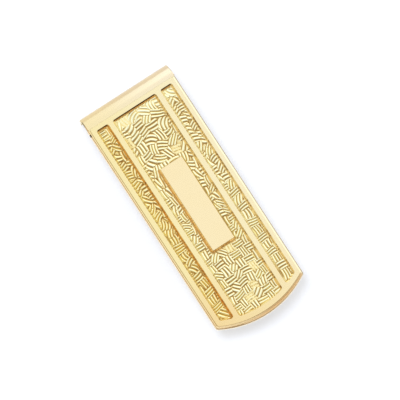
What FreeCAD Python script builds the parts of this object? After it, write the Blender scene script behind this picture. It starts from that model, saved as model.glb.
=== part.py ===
import FreeCAD, Part
import math
import os
import re

import Sketcher
from FreeCAD import Placement, Rotation, Vector

# Hinged money clip, lying on the back of its arm.
# X runs across the clip, Y along it towards the hinge, Z up through the decorated face.
# The origin is the middle of the clip's footprint, on the surface that it lies on.

SIZES = {
    # the clip as a whole
    "clip_length": 50.8,
    "clip_width": 20.0,
    "clip_height": 5.4,
    # layers of the front, from the face down
    "front_thick": 0.65,
    "weave_thick": 0.25,
    "back_thick": 0.5,
    # outline of the front
    "end_arc_radius": 19.3,
    "face_arc_radius": 20.0,
    "window_arc_radius": 21.0,
    "outline_corner": 0.7,
    "ledge_side": 0.25,
    "ledge_end": 0.7,
    "ledge_round": 0.45,
    "edge_round": 0.45,
    # pierced face
    "rim_width": 1.45,
    "rim_end": 1.42,
    "rail_width": 0.95,
    "bar_width": 1.0,
    "middle_window": 9.8,
    "window_corner": 0.45,
    "window_draft": 22.0,
    # hinge barrel rolled from the face plate
    "barrel_radius": 2.75,
    "barrel_wrap": 35.0,
    "barrel_inset": 0.15,
    "lip_round": 0.2,
    "seam_half": 0.14,
    "seam_depth": 0.09,
    # woven sheet and plaque
    "weave_inset": 0.12,
    "weave_lap": 0.5,
    "plaque_width": 4.9,
    "plaque_length": 18.6,
    "plaque_thick": 0.65,
    "plaque_drop": 0.3,
    "plaque_corner": 0.2,
    "plaque_round": 0.15,
    # hinge lugs and pin
    "lug_thick": 0.7,
    "lug_inset": 0.4,
    "pin_radius": 0.5,
    "pin_fit": 0.02,
    "pin_running": 0.03,
    "pin_stand": 0.08,
    "pin_chamfer": 0.12,
    # relief cut in the back plate over the eye of the arm
    "relief_strap": 2.6,
    "relief_reach": 4.6,
    "relief_corner": 0.8,
    # snap spring and its rivets
    "spring_thick": 0.25,
    "spring_width": 7.0,
    "spring_length": 11.4,
    "spring_past_pin": 0.8,
    "spring_corner": 1.2,
    "spring_gap": 0.05,
    "rivet_radius": 0.55,
    "rivet_fit": 0.02,
    "rivet_sink": 0.25,
    "rivet_head_radius": 1.05,
    "rivet_head_thick": 0.35,
    "rivet_head_chamfer": 0.18,
    "rivet_spacing": 3.6,
    "rivet_edge": 2.0,
    # arm
    "arm_thick": 0.5,
    "arm_side_gap": 0.12,
    "arm_width": 15.4,
    "eye_round": 0.6,
    "eye_neck": 1.7,
    "joggle_angle": 28.0,
    "ramp_angle": 13.5,
    "lip_angle": 14.0,
    "lip_length": 4.4,
    "touch_from_end": 7.9,
    "touch_gap": 0.04,
    "shoulder_run": 3.4,
    "bend_inside": 0.6,
    "tip_corner": 3.2,
}

doc = FreeCAD.newDocument("MoneyClip")
sheet = doc.addObject("Spreadsheet::Sheet", "Sizes")
for row, (alias, size) in enumerate(SIZES.items(), 1):
    sheet.set("A%d" % row, alias)
    sheet.set("B%d" % row, str(size))
    sheet.setAlias("B%d" % row, alias)
doc.recompute()

# Places that several pieces share, written with the names of the sheet.
AXIS_Y = "(clip_length / 2 - barrel_radius)"
AXIS_Z = "(clip_height - barrel_radius)"
FACE_UNDER = "(clip_height - front_thick)"
WEAVE_UNDER = f"({FACE_UNDER} - weave_thick)"
BACK_UNDER = f"({WEAVE_UNDER} - back_thick)"
SPRING_UNDER = f"({BACK_UNDER} - spring_thick)"
BARREL_INSIDE = "(barrel_radius - front_thick)"
SIDE = "(clip_width / 2)"
ARC_Y = "(end_arc_radius - clip_length / 2)"
FACE_SIDE = "(clip_width / 2 - ledge_side)"
FACE_ARC_Y = "(face_arc_radius + ledge_end - clip_length / 2)"
WINDOW_ARC_Y = "(window_arc_radius + ledge_end + rim_end - clip_length / 2)"
LUG_RADIUS = f"({WEAVE_UNDER} - {AXIS_Z})"
LUG_OUTER = f"({SIDE} - lug_inset)"
LUG_INNER = f"({LUG_OUTER} - lug_thick)"
EYE_HALF_WIDTH = f"({LUG_INNER} - arm_side_gap)"
EYE_HALF = f"({SPRING_UNDER} - spring_gap - {AXIS_Z})"
RELIEF_HALF = f"({SIDE} - relief_strap)"
SPRING_END_Y = f"({AXIS_Y} + spring_past_pin)"
SPRING_START_Y = f"({SPRING_END_Y} - spring_length)"
RIVET_Y = f"({SPRING_START_Y} + rivet_edge)"


def linked(formula):
    """A formula on the sheet's names, as FreeCAD reads it from another object."""
    return re.sub(r"[a-z]+(?:_[a-z]+)+", lambda word: "Sizes." + word.group(0), formula)


def number(formula):
    """The value that a formula has now."""
    return float(sheet.evalExpression(linked(formula)))


def arc_end(radius, across, centre=ARC_Y):
    """Y of an arched end at a distance across; centre is the Y of the arc's middle."""
    return f"({centre} - sqrt(({radius})^2 - ({across})^2))"


def new_body(label):
    """A body named and labelled after its piece."""
    body = doc.addObject("PartDesign::Body", label)
    body.Label = label
    return body


def new_sketch(body, name, plane, offset="0"):
    """A sketch on one of the body's own origin planes, moved along that plane's normal."""
    sketch = body.newObject("Sketcher::SketchObject", name)
    support = [item for item in body.Origin.OriginFeatures if item.Role == plane][0]
    sketch.AttachmentSupport = [(support, "")]
    sketch.MapMode = "FlatFace"
    sketch.setExpression("AttachmentOffset.Base.z", linked(offset))
    return sketch


def bind(sketch, constraint, formula):
    """Adds a dimension and ties it to the sheet."""
    index = sketch.addConstraint(constraint)
    sketch.setExpression("Constraints[%d]" % index, linked(formula))


def place_point(sketch, edge, end, point):
    """Dimensions one end of an edge, or a centre, from the sketch's origin."""
    for kind, axis, formula in (("DistanceX", -2, point[0]), ("DistanceY", -1, point[1])):
        if formula == "0":
            sketch.addConstraint(Sketcher.Constraint("PointOnObject", edge, end, axis))
        else:
            bind(sketch, Sketcher.Constraint(kind, -1, 1, edge, end, number(formula)), formula)


def draw_outline(sketch, corners, arcs=None):
    """Closed outline through the corners; arcs maps a side's number to (radius, centre, turn)."""
    arcs = arcs or {}
    count = len(corners)
    points = [Vector(number(u), number(v), 0) for u, v in corners]
    starts = []
    ends = []
    for side in range(count):
        here = points[side]
        there = points[(side + 1) % count]
        if side in arcs:
            radius, centre, turn = arcs[side]
            middle = Vector(number(centre[0]), number(centre[1]), 0)
            first, last = (here, there) if turn > 0 else (there, here)
            begin = math.atan2(first.y - middle.y, first.x - middle.x)
            finish = math.atan2(last.y - middle.y, last.x - middle.x)
            if finish < begin:
                finish += 2 * math.pi
            circle = Part.Circle(middle, Vector(0, 0, 1), number(radius))
            edge = sketch.addGeometry(Part.ArcOfCircle(circle, begin, finish))
            starts.append((edge, 1 if turn > 0 else 2))
            ends.append((edge, 2 if turn > 0 else 1))
        else:
            edge = sketch.addGeometry(Part.LineSegment(here, there))
            starts.append((edge, 1))
            ends.append((edge, 2))
    for side in range(count):
        joined = ends[side - 1]
        sketch.addConstraint(Sketcher.Constraint("Coincident", *joined, *starts[side]))
    for side in range(count):
        place_point(sketch, *starts[side], corners[side])
    for side, (radius, _, _) in arcs.items():
        bind(sketch, Sketcher.Constraint("Radius", starts[side][0], number(radius)), radius)


def draw_circle(sketch, centre, radius):
    """A whole circle, dimensioned by its centre and radius."""
    middle = Vector(number(centre[0]), number(centre[1]), 0)
    edge = sketch.addGeometry(Part.Circle(middle, Vector(0, 0, 1), number(radius)))
    place_point(sketch, edge, 3, centre)
    bind(sketch, Sketcher.Constraint("Radius", edge, number(radius)), radius)


def box_corners(left, right, low, high):
    """Corners of an upright rectangle."""
    return [(left, low), (right, low), (right, high), (left, high)]


def pad(body, name, sketch, length, symmetric=False, reverse=False):
    """Adds a sketch's outline as a solid of the given length."""
    feature = body.newObject("PartDesign::Pad", name)
    feature.Profile = sketch
    feature.setExpression("Length", linked(length))
    feature.SideType = "Symmetric" if symmetric else "One side"
    feature.Reversed = reverse
    doc.recompute()
    return feature


def pocket(body, name, sketch, length, symmetric=True, draft=None):
    """Cuts a sketch's outline away and makes sure that something was cut."""
    before = body.Shape.Volume
    feature = body.newObject("PartDesign::Pocket", name)
    feature.Profile = sketch
    feature.setExpression("Length", linked(length))
    feature.SideType = "Symmetric" if symmetric else "One side"
    if draft is not None:
        feature.setExpression("TaperAngle", linked(draft))
    doc.recompute()
    if not body.Shape.Volume < before - 1e-4:
        raise RuntimeError(name + " cuts nothing")
    return feature


def edge_names(feature, wanted):
    """Names of the feature's edges that the test picks."""
    return ["Edge%d" % n for n, edge in enumerate(feature.Shape.Edges, 1) if wanted(edge)]


def soften(body, name, kind, base, size, wanted, expected=None):
    """A fillet or chamfer on the edges that the test picks."""
    names = edge_names(base, wanted)
    if not names or (expected is not None and len(names) != expected):
        raise RuntimeError("%s picks %d edges" % (name, len(names)))
    feature = body.newObject("PartDesign::" + kind, name)
    feature.Base = (base, names)
    feature.setExpression("Radius" if kind == "Fillet" else "Size", linked(size))
    doc.recompute()
    return feature


def spin(body, name, sketch, axis):
    """A full turn of a sketch about one of its own axes."""
    feature = body.newObject("PartDesign::Revolution", name)
    feature.Profile = sketch
    feature.ReferenceAxis = (sketch, [axis])
    feature.Angle = 360
    doc.recompute()
    return feature


def all_at(edge, axis, place, slack=1e-4):
    """True where every end of the edge has the given coordinate."""
    return all(abs(getattr(v.Point, axis) - place) < slack for v in edge.Vertexes)


def runs_across(edge, y, z):
    """True for an edge that runs across the clip through the point (y, z)."""
    return len(edge.Vertexes) == 2 and all_at(edge, "y", y) and all_at(edge, "z", z)


def is_upright(edge):
    """True for a straight edge along Z."""
    if len(edge.Vertexes) != 2:
        return False
    first, last = (v.Point for v in edge.Vertexes)
    return (last - first).Length > 1e-6 and math.hypot(last.x - first.x, last.y - first.y) < 1e-6


def middle_of(edge):
    """The point half-way along an edge."""
    return edge.valueAt((edge.FirstParameter + edge.LastParameter) / 2)


def arched_outline(left, right, top, radius, centre=ARC_Y):
    """Plan with straight sides and a flat top, closed by an arc about a point on the Y axis."""
    low_left = arc_end(radius, left, centre)
    low_right = arc_end(radius, right, centre)
    corners = [(left, top), (left, low_left), (right, low_right), (right, top)]
    return corners, {1: (radius, ("0", centre), 1)}


# Front plate: the pierced sheet, its arched end at -Y.
front = new_body("front_plate")
front_plan = new_sketch(front, "FrontPlan", "XY_Plane", FACE_UNDER)
draw_outline(
    front_plan, *arched_outline(f"-{FACE_SIDE}", FACE_SIDE, AXIS_Y, "face_arc_radius", FACE_ARC_Y)
)
flat = pad(front, "FrontSheet", front_plan, "front_thick")

face_corner = number(arc_end("face_arc_radius", FACE_SIDE, FACE_ARC_Y))


def is_face_corner(edge):
    """True for the two upright edges where the face's sides meet its arched end."""
    return is_upright(edge) and all_at(edge, "y", face_corner)


flat = soften(front, "FrontCorners", "Fillet", flat, "outline_corner", is_face_corner, 2)

# Three windows with drafted walls; their lower ends follow the arch.
windows = new_sketch(front, "Windows", "XY_Plane", "clip_height")
window_top = f"({AXIS_Y} - rail_width)"
middle_half = "(middle_window / 2)"
side_inner = f"({middle_half} + bar_width)"
side_outer = f"({SIDE} - rim_width)"
for left, right in (
    (f"-{side_outer}", f"-{side_inner}"),
    (f"-{middle_half}", middle_half),
    (side_inner, side_outer),
):
    draw_outline(
        windows, *arched_outline(left, right, window_top, "window_arc_radius", WINDOW_ARC_Y)
    )
pierced = pocket(
    front, "WindowCut", windows, "front_thick", symmetric=False, draft="-window_draft"
)

corner_spots = []
for across in (middle_half, side_inner, side_outer):
    for along in (window_top, arc_end("window_arc_radius", across, WINDOW_ARC_Y)):
        corner_spots.append((number(across), number(along)))
face_height = number("clip_height")


def is_window_corner(edge):
    """True for the slanted edges in the corners of the windows."""
    if len(edge.Vertexes) != 2:
        return False
    low, high = sorted((v.Point for v in edge.Vertexes), key=lambda point: point.z)
    if high.z - low.z < 1e-3 or abs(high.z - face_height) > 1e-4:
        return False
    return any(
        abs(abs(high.x) - x) < 1e-4 and abs(high.y - y) < 1e-4 for x, y in corner_spots
    )


pierced = soften(
    front, "WindowCorners", "Fillet", pierced, "window_corner", is_window_corner, 12
)


def on_outline(edge, height, side, radius, centre):
    """True for an edge at a height along an outline's sides, lower corners and arched end."""
    if not all_at(edge, "z", number(height)):
        return False
    middle = middle_of(edge)
    if abs(abs(middle.x) - number(side)) < 1e-3:
        return True
    reach = math.hypot(middle.x, middle.y - number(centre))
    if middle.y < 0 and abs(reach - number(radius)) < 1e-3:
        return True
    close = number("outline_corner")
    corner = number(arc_end(radius, side, centre))
    return abs(middle.x) > number(side) - close and abs(middle.y - corner) < close


def is_outer_rim(edge):
    """True for the face's edges along the sides, the corners and the arched end."""
    return on_outline(edge, "clip_height", FACE_SIDE, "face_arc_radius", FACE_ARC_Y)


pierced = soften(front, "RimRound", "Fillet", pierced, "edge_round", is_outer_rim)

# The plate's top end is rolled round the pin; the roll is a little narrower than the plate.
roll = new_sketch(front, "BarrelSection", "YZ_Plane")
lip_y = f"({AXIS_Y} + %s * cos(barrel_wrap))"
lip_z = f"({AXIS_Z} - %s * sin(barrel_wrap))"
roll_corners = [
    (AXIS_Y, FACE_UNDER),
    (lip_y % BARREL_INSIDE, lip_z % BARREL_INSIDE),
    (lip_y % "barrel_radius", lip_z % "barrel_radius"),
    (AXIS_Y, "clip_height"),
]
roll_arcs = {
    0: (BARREL_INSIDE, (AXIS_Y, AXIS_Z), -1),
    2: ("barrel_radius", (AXIS_Y, AXIS_Z), 1),
}
draw_outline(roll, roll_corners, roll_arcs)
barrel = pad(front, "Barrel", roll, "clip_width - 2 * barrel_inset", symmetric=True)

lip_spots = [
    (number(lip_y % radius), number(lip_z % radius)) for radius in (BARREL_INSIDE, "barrel_radius")
]


def is_barrel_lip(edge):
    """True for the two long edges of the roll's free lip."""
    return any(runs_across(edge, y, z) for y, z in lip_spots)


soften(front, "LipRound", "Fillet", barrel, "lip_round", is_barrel_lip, 2)

# The fine line where the flat face turns into the roll.
seam = new_sketch(front, "SeamSection", "YZ_Plane")
seam_corners = [
    (AXIS_Y, "clip_height - seam_depth"),
    (f"{AXIS_Y} + 2 * seam_half", "clip_height + seam_depth"),
    (f"{AXIS_Y} - 2 * seam_half", "clip_height + seam_depth"),
]
draw_outline(seam, seam_corners)
pocket(front, "SeamLine", seam, "2 * clip_width")

# Woven sheet: lies under the whole face, a little inside its outline.
weave = new_body("woven_sheet")
weave_side = f"({FACE_SIDE} - weave_inset)"
weave_arc = "(face_arc_radius - weave_inset)"
weave_plan = new_sketch(weave, "WeavePlan", "XY_Plane", WEAVE_UNDER)
weave_top = f"({window_top} + weave_lap)"
draw_outline(
    weave_plan, *arched_outline(f"-{weave_side}", weave_side, weave_top, weave_arc, FACE_ARC_Y)
)
weave_sheet = pad(weave, "WeaveSheet", weave_plan, "weave_thick")
weave_corner = number(arc_end(weave_arc, weave_side, FACE_ARC_Y))
soften(
    weave,
    "WeaveCorners",
    "Fillet",
    weave_sheet,
    "outline_corner - weave_inset",
    lambda edge: is_upright(edge) and all_at(edge, "y", weave_corner),
    2,
)

# Engraving plaque: a smooth bar standing on the woven sheet in the middle window.
plaque = new_body("engraving_plaque")
plaque_plan = new_sketch(plaque, "PlaquePlan", "XY_Plane", FACE_UNDER)
draw_outline(
    plaque_plan,
    box_corners(
        "-plaque_width / 2",
        "plaque_width / 2",
        "-plaque_length / 2 - plaque_drop",
        "plaque_length / 2 - plaque_drop",
    ),
)
plaque_block = pad(plaque, "PlaqueBlock", plaque_plan, "plaque_thick")
plaque_block = soften(
    plaque, "PlaqueCorners", "Fillet", plaque_block, "plaque_corner", is_upright, 4
)
plaque_height = number(f"{FACE_UNDER} + plaque_thick")
soften(
    plaque,
    "PlaqueRound",
    "Fillet",
    plaque_block,
    "plaque_round",
    lambda edge: all_at(edge, "z", plaque_height),
    8,
)

# Back plate: closes the back, with a relief over the eye of the arm and two lugs for the pin.
back = new_body("back_plate")
back_plan = new_sketch(back, "BackPlan", "XY_Plane", BACK_UNDER)
relief_low = f"({AXIS_Y} - relief_reach)"
back_corner = arc_end("end_arc_radius", SIDE)
strap_corners = [
    (f"-{SIDE}", AXIS_Y),
    (f"-{SIDE}", back_corner),
    (SIDE, back_corner),
    (SIDE, AXIS_Y),
    (RELIEF_HALF, AXIS_Y),
    (RELIEF_HALF, relief_low),
    (f"-{RELIEF_HALF}", relief_low),
    (f"-{RELIEF_HALF}", AXIS_Y),
]
draw_outline(back_plan, strap_corners, {1: ("end_arc_radius", ("0", ARC_Y), 1)})
back_sheet = pad(back, "BackSheet", back_plan, "back_thick")
corner_place = number(back_corner)
back_sheet = soften(
    back,
    "BackCorners",
    "Fillet",
    back_sheet,
    "outline_corner",
    lambda edge: is_upright(edge) and all_at(edge, "y", corner_place),
    2,
)
back_sheet = soften(
    back,
    "LedgeRound",
    "Fillet",
    back_sheet,
    "ledge_round",
    lambda edge: on_outline(edge, WEAVE_UNDER, SIDE, "end_arc_radius", ARC_Y),
)
relief_place = number(relief_low)
back_sheet = soften(
    back,
    "ReliefCorners",
    "Fillet",
    back_sheet,
    "relief_corner",
    lambda edge: is_upright(edge) and all_at(edge, "y", relief_place),
    2,
)

lug = new_sketch(back, "LugSection", "YZ_Plane", LUG_INNER)
lug_corners = [
    (AXIS_Y, WEAVE_UNDER),
    (f"{AXIS_Y} - {LUG_RADIUS}", WEAVE_UNDER),
    (f"{AXIS_Y} - {LUG_RADIUS}", AXIS_Z),
]
draw_outline(lug, lug_corners, {2: (LUG_RADIUS, (AXIS_Y, AXIS_Z), 1)})
lug_pad = pad(back, "Lug", lug, "lug_thick")
bore = new_sketch(back, "LugBore", "YZ_Plane", LUG_INNER)
draw_circle(bore, (AXIS_Y, AXIS_Z), "pin_radius + pin_fit")
bore_cut = pocket(back, "LugBoreCut", bore, "4 * lug_thick")
plane = [item for item in back.Origin.OriginFeatures if item.Role == "YZ_Plane"][0]
lugs = back.newObject("PartDesign::Mirrored", "OtherLug")
lugs.Originals = [lug_pad, bore_cut]
lugs.MirrorPlane = (plane, [""])
back.Tip = lugs
doc.recompute()

rivet_holes = new_sketch(back, "RivetHoles", "XY_Plane", BACK_UNDER)
for sign in ("-", ""):
    draw_circle(rivet_holes, (f"{sign}rivet_spacing / 2", RIVET_Y), "rivet_radius + rivet_fit")
holes = pocket(back, "RivetHoleCut", rivet_holes, "4 * back_thick")
weave_low = number(WEAVE_UNDER)


def is_hole_mouth(edge):
    """True for the round edges of the rivet holes on the upper side."""
    return edge.Curve.TypeId == "Part::GeomCircle" and abs(edge.Curve.Center.z - weave_low) < 1e-4 \
        and abs(edge.Curve.Radius - number("rivet_radius + rivet_fit")) < 1e-4


soften(back, "RivetSinks", "Chamfer", holes, "rivet_sink", is_hole_mouth, 2)

# Hinge pin: a plain rod with chamfered ends, pressed into both lugs.
pin = new_body("hinge_pin")
pin_half = f"({LUG_OUTER} + pin_stand)"
pin_section = new_sketch(pin, "PinSection", "XY_Plane")
draw_outline(
    pin_section,
    [
        (f"-{pin_half}", "0"),
        (pin_half, "0"),
        (pin_half, "pin_radius - pin_chamfer"),
        (f"{pin_half} - pin_chamfer", "pin_radius"),
        (f"-{pin_half} + pin_chamfer", "pin_radius"),
        (f"-{pin_half}", "pin_radius - pin_chamfer"),
    ],
)
spin(pin, "PinRod", pin_section, "H_Axis")
pin.setExpression("Placement.Base.y", linked(AXIS_Y))
pin.setExpression("Placement.Base.z", linked(AXIS_Z))

# Snap spring: a flat strip under the back plate that bears on the squared eye of the arm.
spring = new_body("snap_spring")
spring_plan = new_sketch(spring, "SpringPlan", "XY_Plane", SPRING_UNDER)
draw_outline(
    spring_plan,
    box_corners("-spring_width / 2", "spring_width / 2", SPRING_START_Y, SPRING_END_Y),
)
spring_sheet = pad(spring, "SpringStrip", spring_plan, "spring_thick")
spring_sheet = soften(
    spring, "SpringCorners", "Fillet", spring_sheet, "spring_corner", is_upright, 4
)
spring_holes = new_sketch(spring, "SpringHoles", "XY_Plane", SPRING_UNDER)
for sign in ("-", ""):
    draw_circle(spring_holes, (f"{sign}rivet_spacing / 2", RIVET_Y), "rivet_radius + rivet_fit")
pocket(spring, "SpringHoleCut", spring_holes, "4 * spring_thick")

# Rivets: head under the spring, upper end spread into the countersink of the back plate.
for label, sign in (("spring_rivet_left", "-"), ("spring_rivet_right", "")):
    rivet = new_body(label)
    rivet_section = new_sketch(rivet, "RivetSection", "XZ_Plane")
    grip = "(spring_thick + back_thick)"
    draw_outline(
        rivet_section,
        [
            ("0", "-rivet_head_thick"),
            ("rivet_head_radius - rivet_head_chamfer", "-rivet_head_thick"),
            ("rivet_head_radius", "rivet_head_chamfer - rivet_head_thick"),
            ("rivet_head_radius", "0"),
            ("rivet_radius", "0"),
            ("rivet_radius", f"{grip} - rivet_sink"),
            ("rivet_radius + rivet_sink", grip),
            ("0", grip),
        ],
    )
    spin(rivet, "RivetBody", rivet_section, "V_Axis")
    rivet.setExpression("Placement.Base.x", linked(f"{sign}rivet_spacing / 2"))
    rivet.setExpression("Placement.Base.y", linked(RIVET_Y))
    rivet.setExpression("Placement.Base.z", linked(SPRING_UNDER))

# Arm: a sprung strip. Its squared eye turns on the pin, a joggle takes it down to the back,
# and it rises again to touch the back plate near the arched end, with a flared lip.
arm = new_body("clip_arm")
neck_y = f"({AXIS_Y} - eye_neck)"
neck_z = f"({AXIS_Z} - {EYE_HALF})"
foot_y = f"({neck_y} - {neck_z} / tan(joggle_angle))"
joggle_shift = "(arm_thick * tan(joggle_angle / 2))"
touch_y = "(touch_from_end - clip_length / 2)"
touch_z = f"({BACK_UNDER} - touch_gap)"
rise_y = f"({touch_y} + ({touch_z} - arm_thick) / tan(ramp_angle))"
ramp_shift = "(arm_thick * tan(ramp_angle / 2))"
crest_turn = "(1 + cos(ramp_angle + lip_angle))"
crest_shift_y = f"(arm_thick * (sin(ramp_angle) - sin(lip_angle)) / {crest_turn})"
crest_shift_z = f"(arm_thick * (cos(ramp_angle) + cos(lip_angle)) / {crest_turn})"
lip_top_y = f"({touch_y} - lip_length * cos(lip_angle))"
lip_top_z = f"({touch_z} - lip_length * sin(lip_angle))"
upper_bends = [
    (f"({neck_y} - {joggle_shift})", f"({neck_z} + arm_thick)"),
    (f"({foot_y} - {joggle_shift})", "arm_thick"),
    (rise_y, "arm_thick"),
    (touch_y, touch_z),
]
lower_bends = [
    (neck_y, neck_z),
    (foot_y, "0"),
    (f"({rise_y} - {ramp_shift})", "0"),
    (f"({touch_y} - {crest_shift_y})", f"({touch_z} - {crest_shift_z})"),
]
lip_corners = [
    (lip_top_y, lip_top_z),
    (f"({lip_top_y} + arm_thick * sin(lip_angle))", f"({lip_top_z} - arm_thick * cos(lip_angle))"),
]
eye_corners = [
    (f"({AXIS_Y} + {EYE_HALF})", neck_z),
    (f"({AXIS_Y} + {EYE_HALF})", f"({AXIS_Z} + {EYE_HALF})"),
    (f"({AXIS_Y} - {EYE_HALF})", f"({AXIS_Z} + {EYE_HALF})"),
    (f"({AXIS_Y} - {EYE_HALF})", f"({neck_z} + arm_thick)"),
]
strip_section = new_sketch(arm, "ArmSection", "YZ_Plane")
draw_outline(strip_section, eye_corners + upper_bends + lip_corners + lower_bends[::-1])
strip = pad(arm, "ArmStrip", strip_section, f"2 * {EYE_HALF_WIDTH}", symmetric=True)

arm_bore = new_sketch(arm, "EyeBore", "YZ_Plane")
draw_circle(arm_bore, (AXIS_Y, AXIS_Z), "pin_radius + pin_running")
strip = pocket(arm, "EyeBoreCut", arm_bore, "2 * clip_width")


def spots(points):
    """Present places of points written as formulas."""
    return [(number(y), number(z)) for y, z in points]


def at_spots(points):
    """A test for edges that run across the clip through any of the points."""
    return lambda edge: any(runs_across(edge, y, z) for y, z in points)


strip = soften(
    arm, "EyeCorners", "Fillet", strip, "eye_round", at_spots(spots(eye_corners[:3])), 3
)
inside = spots([lower_bends[0], upper_bends[1], upper_bends[2], lower_bends[3]])
outside = spots([upper_bends[0], lower_bends[1], lower_bends[2], upper_bends[3]])
strip = soften(arm, "InnerBends", "Fillet", strip, "bend_inside", at_spots(inside), 4)
strip = soften(
    arm, "OuterBends", "Fillet", strip, "bend_inside + arm_thick", at_spots(outside), 4
)

# Plan of the arm: narrower past the lugs, with rounded corners at the lip.
sides = new_sketch(arm, "ArmSides", "XY_Plane")
shoulder_y = f"({neck_y} - shoulder_run)"
beyond = f"({EYE_HALF_WIDTH} + arm_side_gap)"
past_tip = f"({lip_top_y} - arm_thick)"
for sign in ("-", ""):
    draw_outline(
        sides,
        [
            (f"{sign}arm_width / 2", past_tip),
            (f"{sign}{beyond}", past_tip),
            (f"{sign}{beyond}", f"({shoulder_y} + shoulder_run)"),
            (f"{sign}{EYE_HALF_WIDTH}", f"({shoulder_y} + shoulder_run)"),
            (f"{sign}arm_width / 2", shoulder_y),
        ],
    )
strip = pocket(arm, "ArmSideCut", sides, "4 * clip_height")
tip_low = number(lip_top_y)


def is_tip_corner(edge):
    """True for the short edges at both sides of the lip's end."""
    points = [v.Point for v in edge.Vertexes]
    if len(points) != 2 or abs(points[0].x - points[1].x) > 1e-4:
        return False
    return all(point.y < tip_low + number("arm_thick") for point in points)


soften(arm, "TipCorners", "Fillet", strip, "tip_corner", is_tip_corner, 2)

PIECES = [
    "front_plate",
    "woven_sheet",
    "engraving_plaque",
    "back_plate",
    "hinge_pin",
    "snap_spring",
    "spring_rivet_left",
    "spring_rivet_right",
    "clip_arm",
]

doc.recompute()
for item in doc.Objects:
    if "Invalid" in item.State or "Error" in item.State:
        raise RuntimeError(item.Label + " failed: " + str(item.State))
for sketch in doc.findObjects("Sketcher::SketchObject"):
    if not sketch.FullyConstrained:
        raise RuntimeError(sketch.Label + " is not fully dimensioned")
solids = {}
for label in PIECES:
    shape = doc.getObjectsByLabel(label)[0].Shape
    if shape.isNull() or not shape.isValid() or len(shape.Solids) != 1:
        raise RuntimeError(label + " is not one sound solid")
    solids[label] = shape

os.makedirs("parts", exist_ok=True)
for label, shape in solids.items():
    shape.exportStep("parts/" + label + ".step")
    print("%-20s %9.4f mm3" % (label, shape.Volume))
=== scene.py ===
"""Looks of a hinged gold money clip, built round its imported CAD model.

The clip lies on its back: X runs across it, +Y points to the hinge roll and +Z comes out of the
face. Sizes are written in millimetres and become metres where a mesh is filled.
"""

from __future__ import annotations

import logging
import math
from dataclasses import dataclass, field, fields
from enum import Enum

import bpy
import numpy as np
from mathutils import Matrix, Vector
from mathutils.geometry import tessellate_polygon

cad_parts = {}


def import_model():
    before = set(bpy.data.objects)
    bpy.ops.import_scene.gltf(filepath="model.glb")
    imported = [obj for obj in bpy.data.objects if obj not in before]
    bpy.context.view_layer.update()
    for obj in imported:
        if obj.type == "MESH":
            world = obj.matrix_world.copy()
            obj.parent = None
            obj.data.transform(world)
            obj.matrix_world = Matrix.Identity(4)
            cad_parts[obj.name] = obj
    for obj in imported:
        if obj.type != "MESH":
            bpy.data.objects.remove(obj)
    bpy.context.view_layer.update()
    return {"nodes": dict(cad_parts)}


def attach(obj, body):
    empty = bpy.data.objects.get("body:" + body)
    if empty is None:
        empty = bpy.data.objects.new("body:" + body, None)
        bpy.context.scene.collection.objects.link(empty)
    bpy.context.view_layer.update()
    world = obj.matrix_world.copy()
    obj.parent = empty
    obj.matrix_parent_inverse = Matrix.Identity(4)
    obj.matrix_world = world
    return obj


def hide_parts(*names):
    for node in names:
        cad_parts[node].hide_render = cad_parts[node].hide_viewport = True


LOG = logging.getLogger("money_clip")
MM = 0.001
Array = np.ndarray
Pair = tuple[float, float]
Triple = tuple[float, float, float]
Colour = Triple
Socket = bpy.types.NodeSocket

# Heights of the layers and the places that every sub-assembly shares, in millimetres.
FACE_Z = 5.4
FLOOR_Z = 4.75
AXIS_Y = 22.65
AXIS_Z = 2.65
# Radius and middle of the arc that ends the windows, and how far their walls lean in.
WINDOW_ARC = (20.0, -3.36)
WALL_LEAN = 0.331
# Width of the flat strip between a rounded edge and the cap of the face.
FACE_LAP = 0.04
# Turns to X and to Y between which a wall takes the painted shade of the side that it looks to.
TURN_X = (0.4, 0.85)
TURN_Y = (0.5, 0.9)
# Mesh attributes that the finishes read: painted shade and light as colour factors with gloss, and
# relief.
PAINTED_LIGHT_LAYER = "tone"
RELIEF_LAYER = "relief"


class Body(Enum):
    """The bodies of the clip that carry new pieces."""

    FRONT = "front"


class Slot(Enum):
    """Material slot names that new pieces are tagged with."""

    POLISHED = "polished_gold"
    WOVEN = "woven_gold"


# ----------------------------------------------------------------------------------------------
# Closed lines and shells
# ----------------------------------------------------------------------------------------------


@dataclass(frozen=True)
class Line:
    """A closed line seen from above, counter-clockwise, with the direction out of it.

    Attributes:
        points: places along the line, (n, 2).
        outward: unit vector away from the enclosed area at each point, (n, 2).
    """

    points: Array
    outward: Array

    def refined(self, step: float) -> Line:
        """The same line with evenly spaced points put into its longer runs.

        A new point and its outward direction lie between those of the run's two ends, by its
        share of the run.

        Args:
            step: the longest run that stays whole, in millimetres.

        Returns:
            The finer line.
        """
        near = np.concatenate([self.points, self.outward], axis=1)
        far = np.roll(near, -1, axis=0)
        count = np.ceil(np.linalg.norm(far[:, :2] - near[:, :2], axis=1) / step).astype(int)
        count = np.maximum(count, 1)
        within = np.arange(count.sum()) - np.repeat(np.cumsum(count) - count, count)
        share = (within / np.repeat(count, count))[:, None]
        both = np.repeat(near, count, axis=0) * (1 - share) + np.repeat(far, count, axis=0) * share
        outward = both[:, 2:] / np.linalg.norm(both[:, 2:], axis=1, keepdims=True)
        return Line(both[:, :2], outward)


def joined(runs: list[tuple[Array, Array]]) -> Line:
    """One closed line of several runs of points and outward directions."""
    return Line(*(np.concatenate(part) for part in zip(*runs)))


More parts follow.
